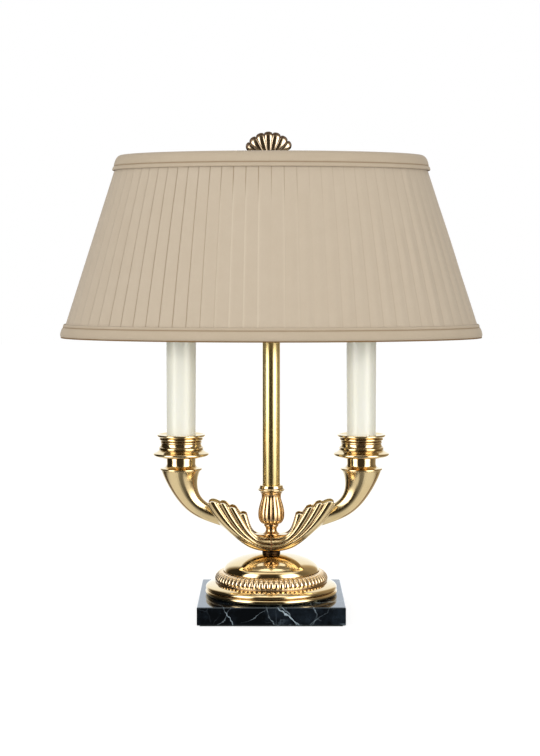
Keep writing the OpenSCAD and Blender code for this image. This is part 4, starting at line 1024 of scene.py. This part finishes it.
def shell():
    """Cast scallop: ribs fan out from the hinge, rounded at their tips, grooved between; with
    painted shade in the grooves and painted dark reflection along the rim.
    """
    per = 20
    n = FLUTES * per
    vs = [0.048 + 0.952 * (i / 34) ** 0.85 for i in range(35)]
    verts, hollows = [], []
    for v in vs:
        row, deep = [], []
        for side in (-1, 1):
            line, dark = [], []
            for i in range(n + 1):
                s = 2 * i / n - 1
                place = (s + 1) / 2 * FLUTES
                f = place - math.floor(min(place, FLUTES - 0.001))
                across = math.sqrt(max(0.0, 4 * f * (1 - f)))
                a = SPREAD * s
                full = 1 / math.hypot(math.sin(a) / (SHELL_W / math.sin(SPREAD)),
                                      math.cos(a) / SHELL_H)
                r = v * full * (1 - 0.07 * (1 - across)) * (1 - 0.1 * abs(s) ** 8)
                edge = 1 - abs(s) ** 4
                swell = max(math.sin(math.pi * min(1.0, 0.12 + 0.82 * v)), 0.0) ** 0.7
                roll = math.sqrt(max(0.0, 1 - 0.95 * (max(0.0, v - 0.68) / 0.32) ** 2))
                body = SHELL_T * swell * (0.35 + 0.65 * edge) * roll
                ridge = 1.15 * v * across * roll
                line.append((r * math.sin(a - LEAN) + SHELL_SHIFT,
                             side * (0.5 + body * 0.75 + ridge), SHELL_Z + r * math.cos(a - LEAN)))
                # painted dark reflection along the rim, painted shade in the grooves between
                # flutes
                dark.append(max(0.8 * smoothstep(0.86, 0.93, v),
                                max(0.0, (abs(2 * f - 1) - 0.72) / 0.28) ** 1.5))
            row += line if side < 0 else line[::-1]
            deep += dark if side < 0 else dark[::-1]
        verts += row
        hollows += deep
    obj = make_mesh("finial_scallop", verts, closed_tube_faces(len(vs), 2 * (n + 1)))
    set_attribute(obj, "patina_and_shade", hollows)
    return obj


dress(shell(), "bronze", "finial", "finial_bronze", "finial_shell")

# -------------------- finishes on CAD nodes

# a star stands for left and right
CAD_FINISH = {
    "felt": "felt_pad",
    "marble": "marble_base",
    "rubber": "cord_bushing",
    "steel": "base_washer base_nut cup_nut_* rod_nut stem_nut main_rod stem_rod socket_stem_*",
    "phenolic": "socket_body_* switch_block",
    "satin": "switch_housing switch_knob stem_tube shade_seat socket_shell_* socket_contact_*",
    "lead": "arm_lead_*",
    "wire": "shade_spider shade_top_ring shade_bottom_ring shade_side_wires",
}
for material, names in CAD_FINISH.items():
    for name in names.split():
        for word in ("left", "right"):
            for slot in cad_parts[name.replace("*", word)].material_slots:
                slot.link = "OBJECT"
                slot.material = MAT[material]

# -------------------- camera, light and floor

CAMERA_BACK, CAMERA_UP, CAMERA_SIDE = 1.8045, 0.378, -0.0014
camera_data = bpy.data.cameras.new("camera")
camera_data.lens = 78.73
camera_data.sensor_width = 36.0
camera_data.shift_y = -0.1495
camera = add_object("camera", camera_data)
camera.location = (CAMERA_SIDE, -CAMERA_BACK, CAMERA_UP)
camera.rotation_euler = (math.pi / 2, 0, 0)
bpy.context.scene.camera = camera
bpy.context.scene.view_settings.view_transform = "Standard"


def area_lamp(name, place, size, power):
    """A rectangular lamp turned to the middle of the object, not seen in mirrors."""
    data = bpy.data.lights.new(name, "AREA")
    data.shape = "RECTANGLE"
    data.size, data.size_y = size
    data.energy = power
    obj = add_object(name, data)
    obj.location = place
    aim = Vector((0, 0, 0.3)) - Vector(place)
    obj.rotation_euler = aim.to_track_quat("-Z", "Y").to_euler()
    obj.visible_glossy = False


area_lamp("key", (-1.6, -2.0, 0.58), (1.2, 0.8), 28)
area_lamp("fill", (1.8, -1.8, 0.56), (1.4, 0.8), 22)


def studio_world():
    """Even light for surfaces. Mirrors see a pale room with two tall soft boxes, a dark gap
    where the camera stands, and the pale backdrop behind the object."""
    world = bpy.data.worlds.new("studio")
    bpy.context.scene.world = world
    world.use_nodes = True
    t = Nodes(world.node_tree)
    t.nodes.clear()

    def background(color, strength=1.0):
        return t.add("Background", {"Color": color, "Strength": strength}).outputs[0]

    split = t.add("SeparateXYZ", [t.add("TexCoord").outputs["Generated"]])
    sx, sy, sz = split.outputs
    turn = t.math("ARCTAN2", sx, t.math("MULTIPLY", sy, -1.0))
    place = t.math("MULTIPLY_ADD", turn, 0.5 / math.pi, 0.5)
    height = t.math("MULTIPLY_ADD", sz, 0.5, 0.5)
    depth = t.math("MULTIPLY_ADD", sy, 0.5, 0.5)

    def warm(v):
        return (v, v * 0.82, v * 0.56, 1)

    # the walls by direction, from behind the object round its left, front and right
    walls = t.ramp(place, [
        (0.000, (1.2, 1.3, 1.42, 1)), (0.080, (1.15, 1.2, 1.25, 1)), (0.115, warm(0.30)),
        (0.145, warm(0.035)), (0.290, warm(0.022)), (0.395, warm(0.14)), (0.425, warm(0.05)),
        (0.545, warm(0.05)), (0.580, warm(0.14)), (0.702, warm(0.32)), (0.730, warm(0.17)),
        (0.780, warm(0.24)), (0.830, warm(0.36)), (0.880, warm(0.38)), (0.915, warm(0.6)),
        (0.935, (1.15, 1.2, 1.25, 1)), (1.0, (1.2, 1.3, 1.42, 1))])
    # two tall soft boxes, left and right of the camera, with soft edges
    boxes = t.ramp(place, [(0.290, 0.0), (0.332, 1.0), (0.374, 1.0), (0.416, 0.0), (0.556, 0.0),
                           (0.600, 1.0), (0.662, 1.0), (0.712, 0.0)], "EASE")
    box_top = t.ramp(height, [(0.13, 0.0), (0.19, 0.17), (0.33, 0.22), (0.42, 0.7), (0.48, 1.0),
                              (0.80, 1.0), (0.92, 0.0)])
    lit = t.mix(t.times(boxes, box_top), walls, (4.6, 4.5, 4.3, 1))
    # the ceiling: dim over the camera, white overhead and over the backdrop
    ceiling = t.ramp(depth, [(0.16, warm(0.16)), (0.25, warm(0.5)), (0.34, (1.5, 1.44, 1.28, 1)),
                             (0.50, (2.2, 2.16, 2.04, 1)), (0.78, (1.6, 1.58, 1.5, 1))])
    overhead = t.ramp(height, [(0.84, 0.0), (0.94, 1.0)], "EASE")
    # the table: grey in front of the object, pale behind it and below the two boxes
    table = t.ramp(depth, [(0.0, (0.16, 0.16, 0.15, 1)), (0.45, (0.26, 0.25, 0.22, 1)),
                           (1.0, (1.0, 1.0, 0.98, 1))])
    below = t.ramp(place, [(0.08, 0.0), (0.16, 1.0), (0.405, 1.0), (0.452, 0.0), (0.548, 0.0),
                           (0.595, 1.0), (0.84, 1.0), (0.92, 0.0)], "EASE")
    table = t.mix(below, table, (0.95, 0.93, 0.88, 1))
    under = t.ramp(height, [(0.15, 1.0), (0.25, 0.0)], "EASE")
    glossy = background(t.mix(under, t.mix(overhead, lit, ceiling), table))

    path = t.add("LightPath").outputs
    white = background((1, 1, 1, 1))
    seen = background((1, 1, 1, 1), 0.52)
    for ray, shown in (("Is Glossy Ray", glossy), ("Is Transmission Ray", white),
                       ("Is Camera Ray", white)):
        seen = t.add("MixShader", [path[ray], seen, shown]).outputs[0]
    t.add("OutputWorld", {"Surface": seen})


studio_world()


def floor():
    """A pale floor that fades to white and keeps the object's shadow."""
    far = 6000
    obj = make_mesh("floor", [(-far, -far, 0), (far, -far, 0), (far, far, 0), (-far, far, 0)],
                    [(0, 1, 2, 3)])
    s = Shader("floor_pale", (0.55, 0.55, 0.55, 1), 0.9)
    s.set("Specular IOR Level", 0.0)
    seen = s.add("LightPath").outputs["Is Camera Ray"]
    glow = s.add("Emission", {"Color": (1, 1, 1, 1), "Strength": s.math("MULTIPLY", seen, 0.76)})
    both = s.add("AddShader", [s.bsdf.outputs[0], glow.outputs[0]])
    s.feed(s.nodes["Material Output"].inputs["Surface"], both.outputs[0])
    obj.data.materials.append(s.mat)
    obj.visible_glossy = False


floor()
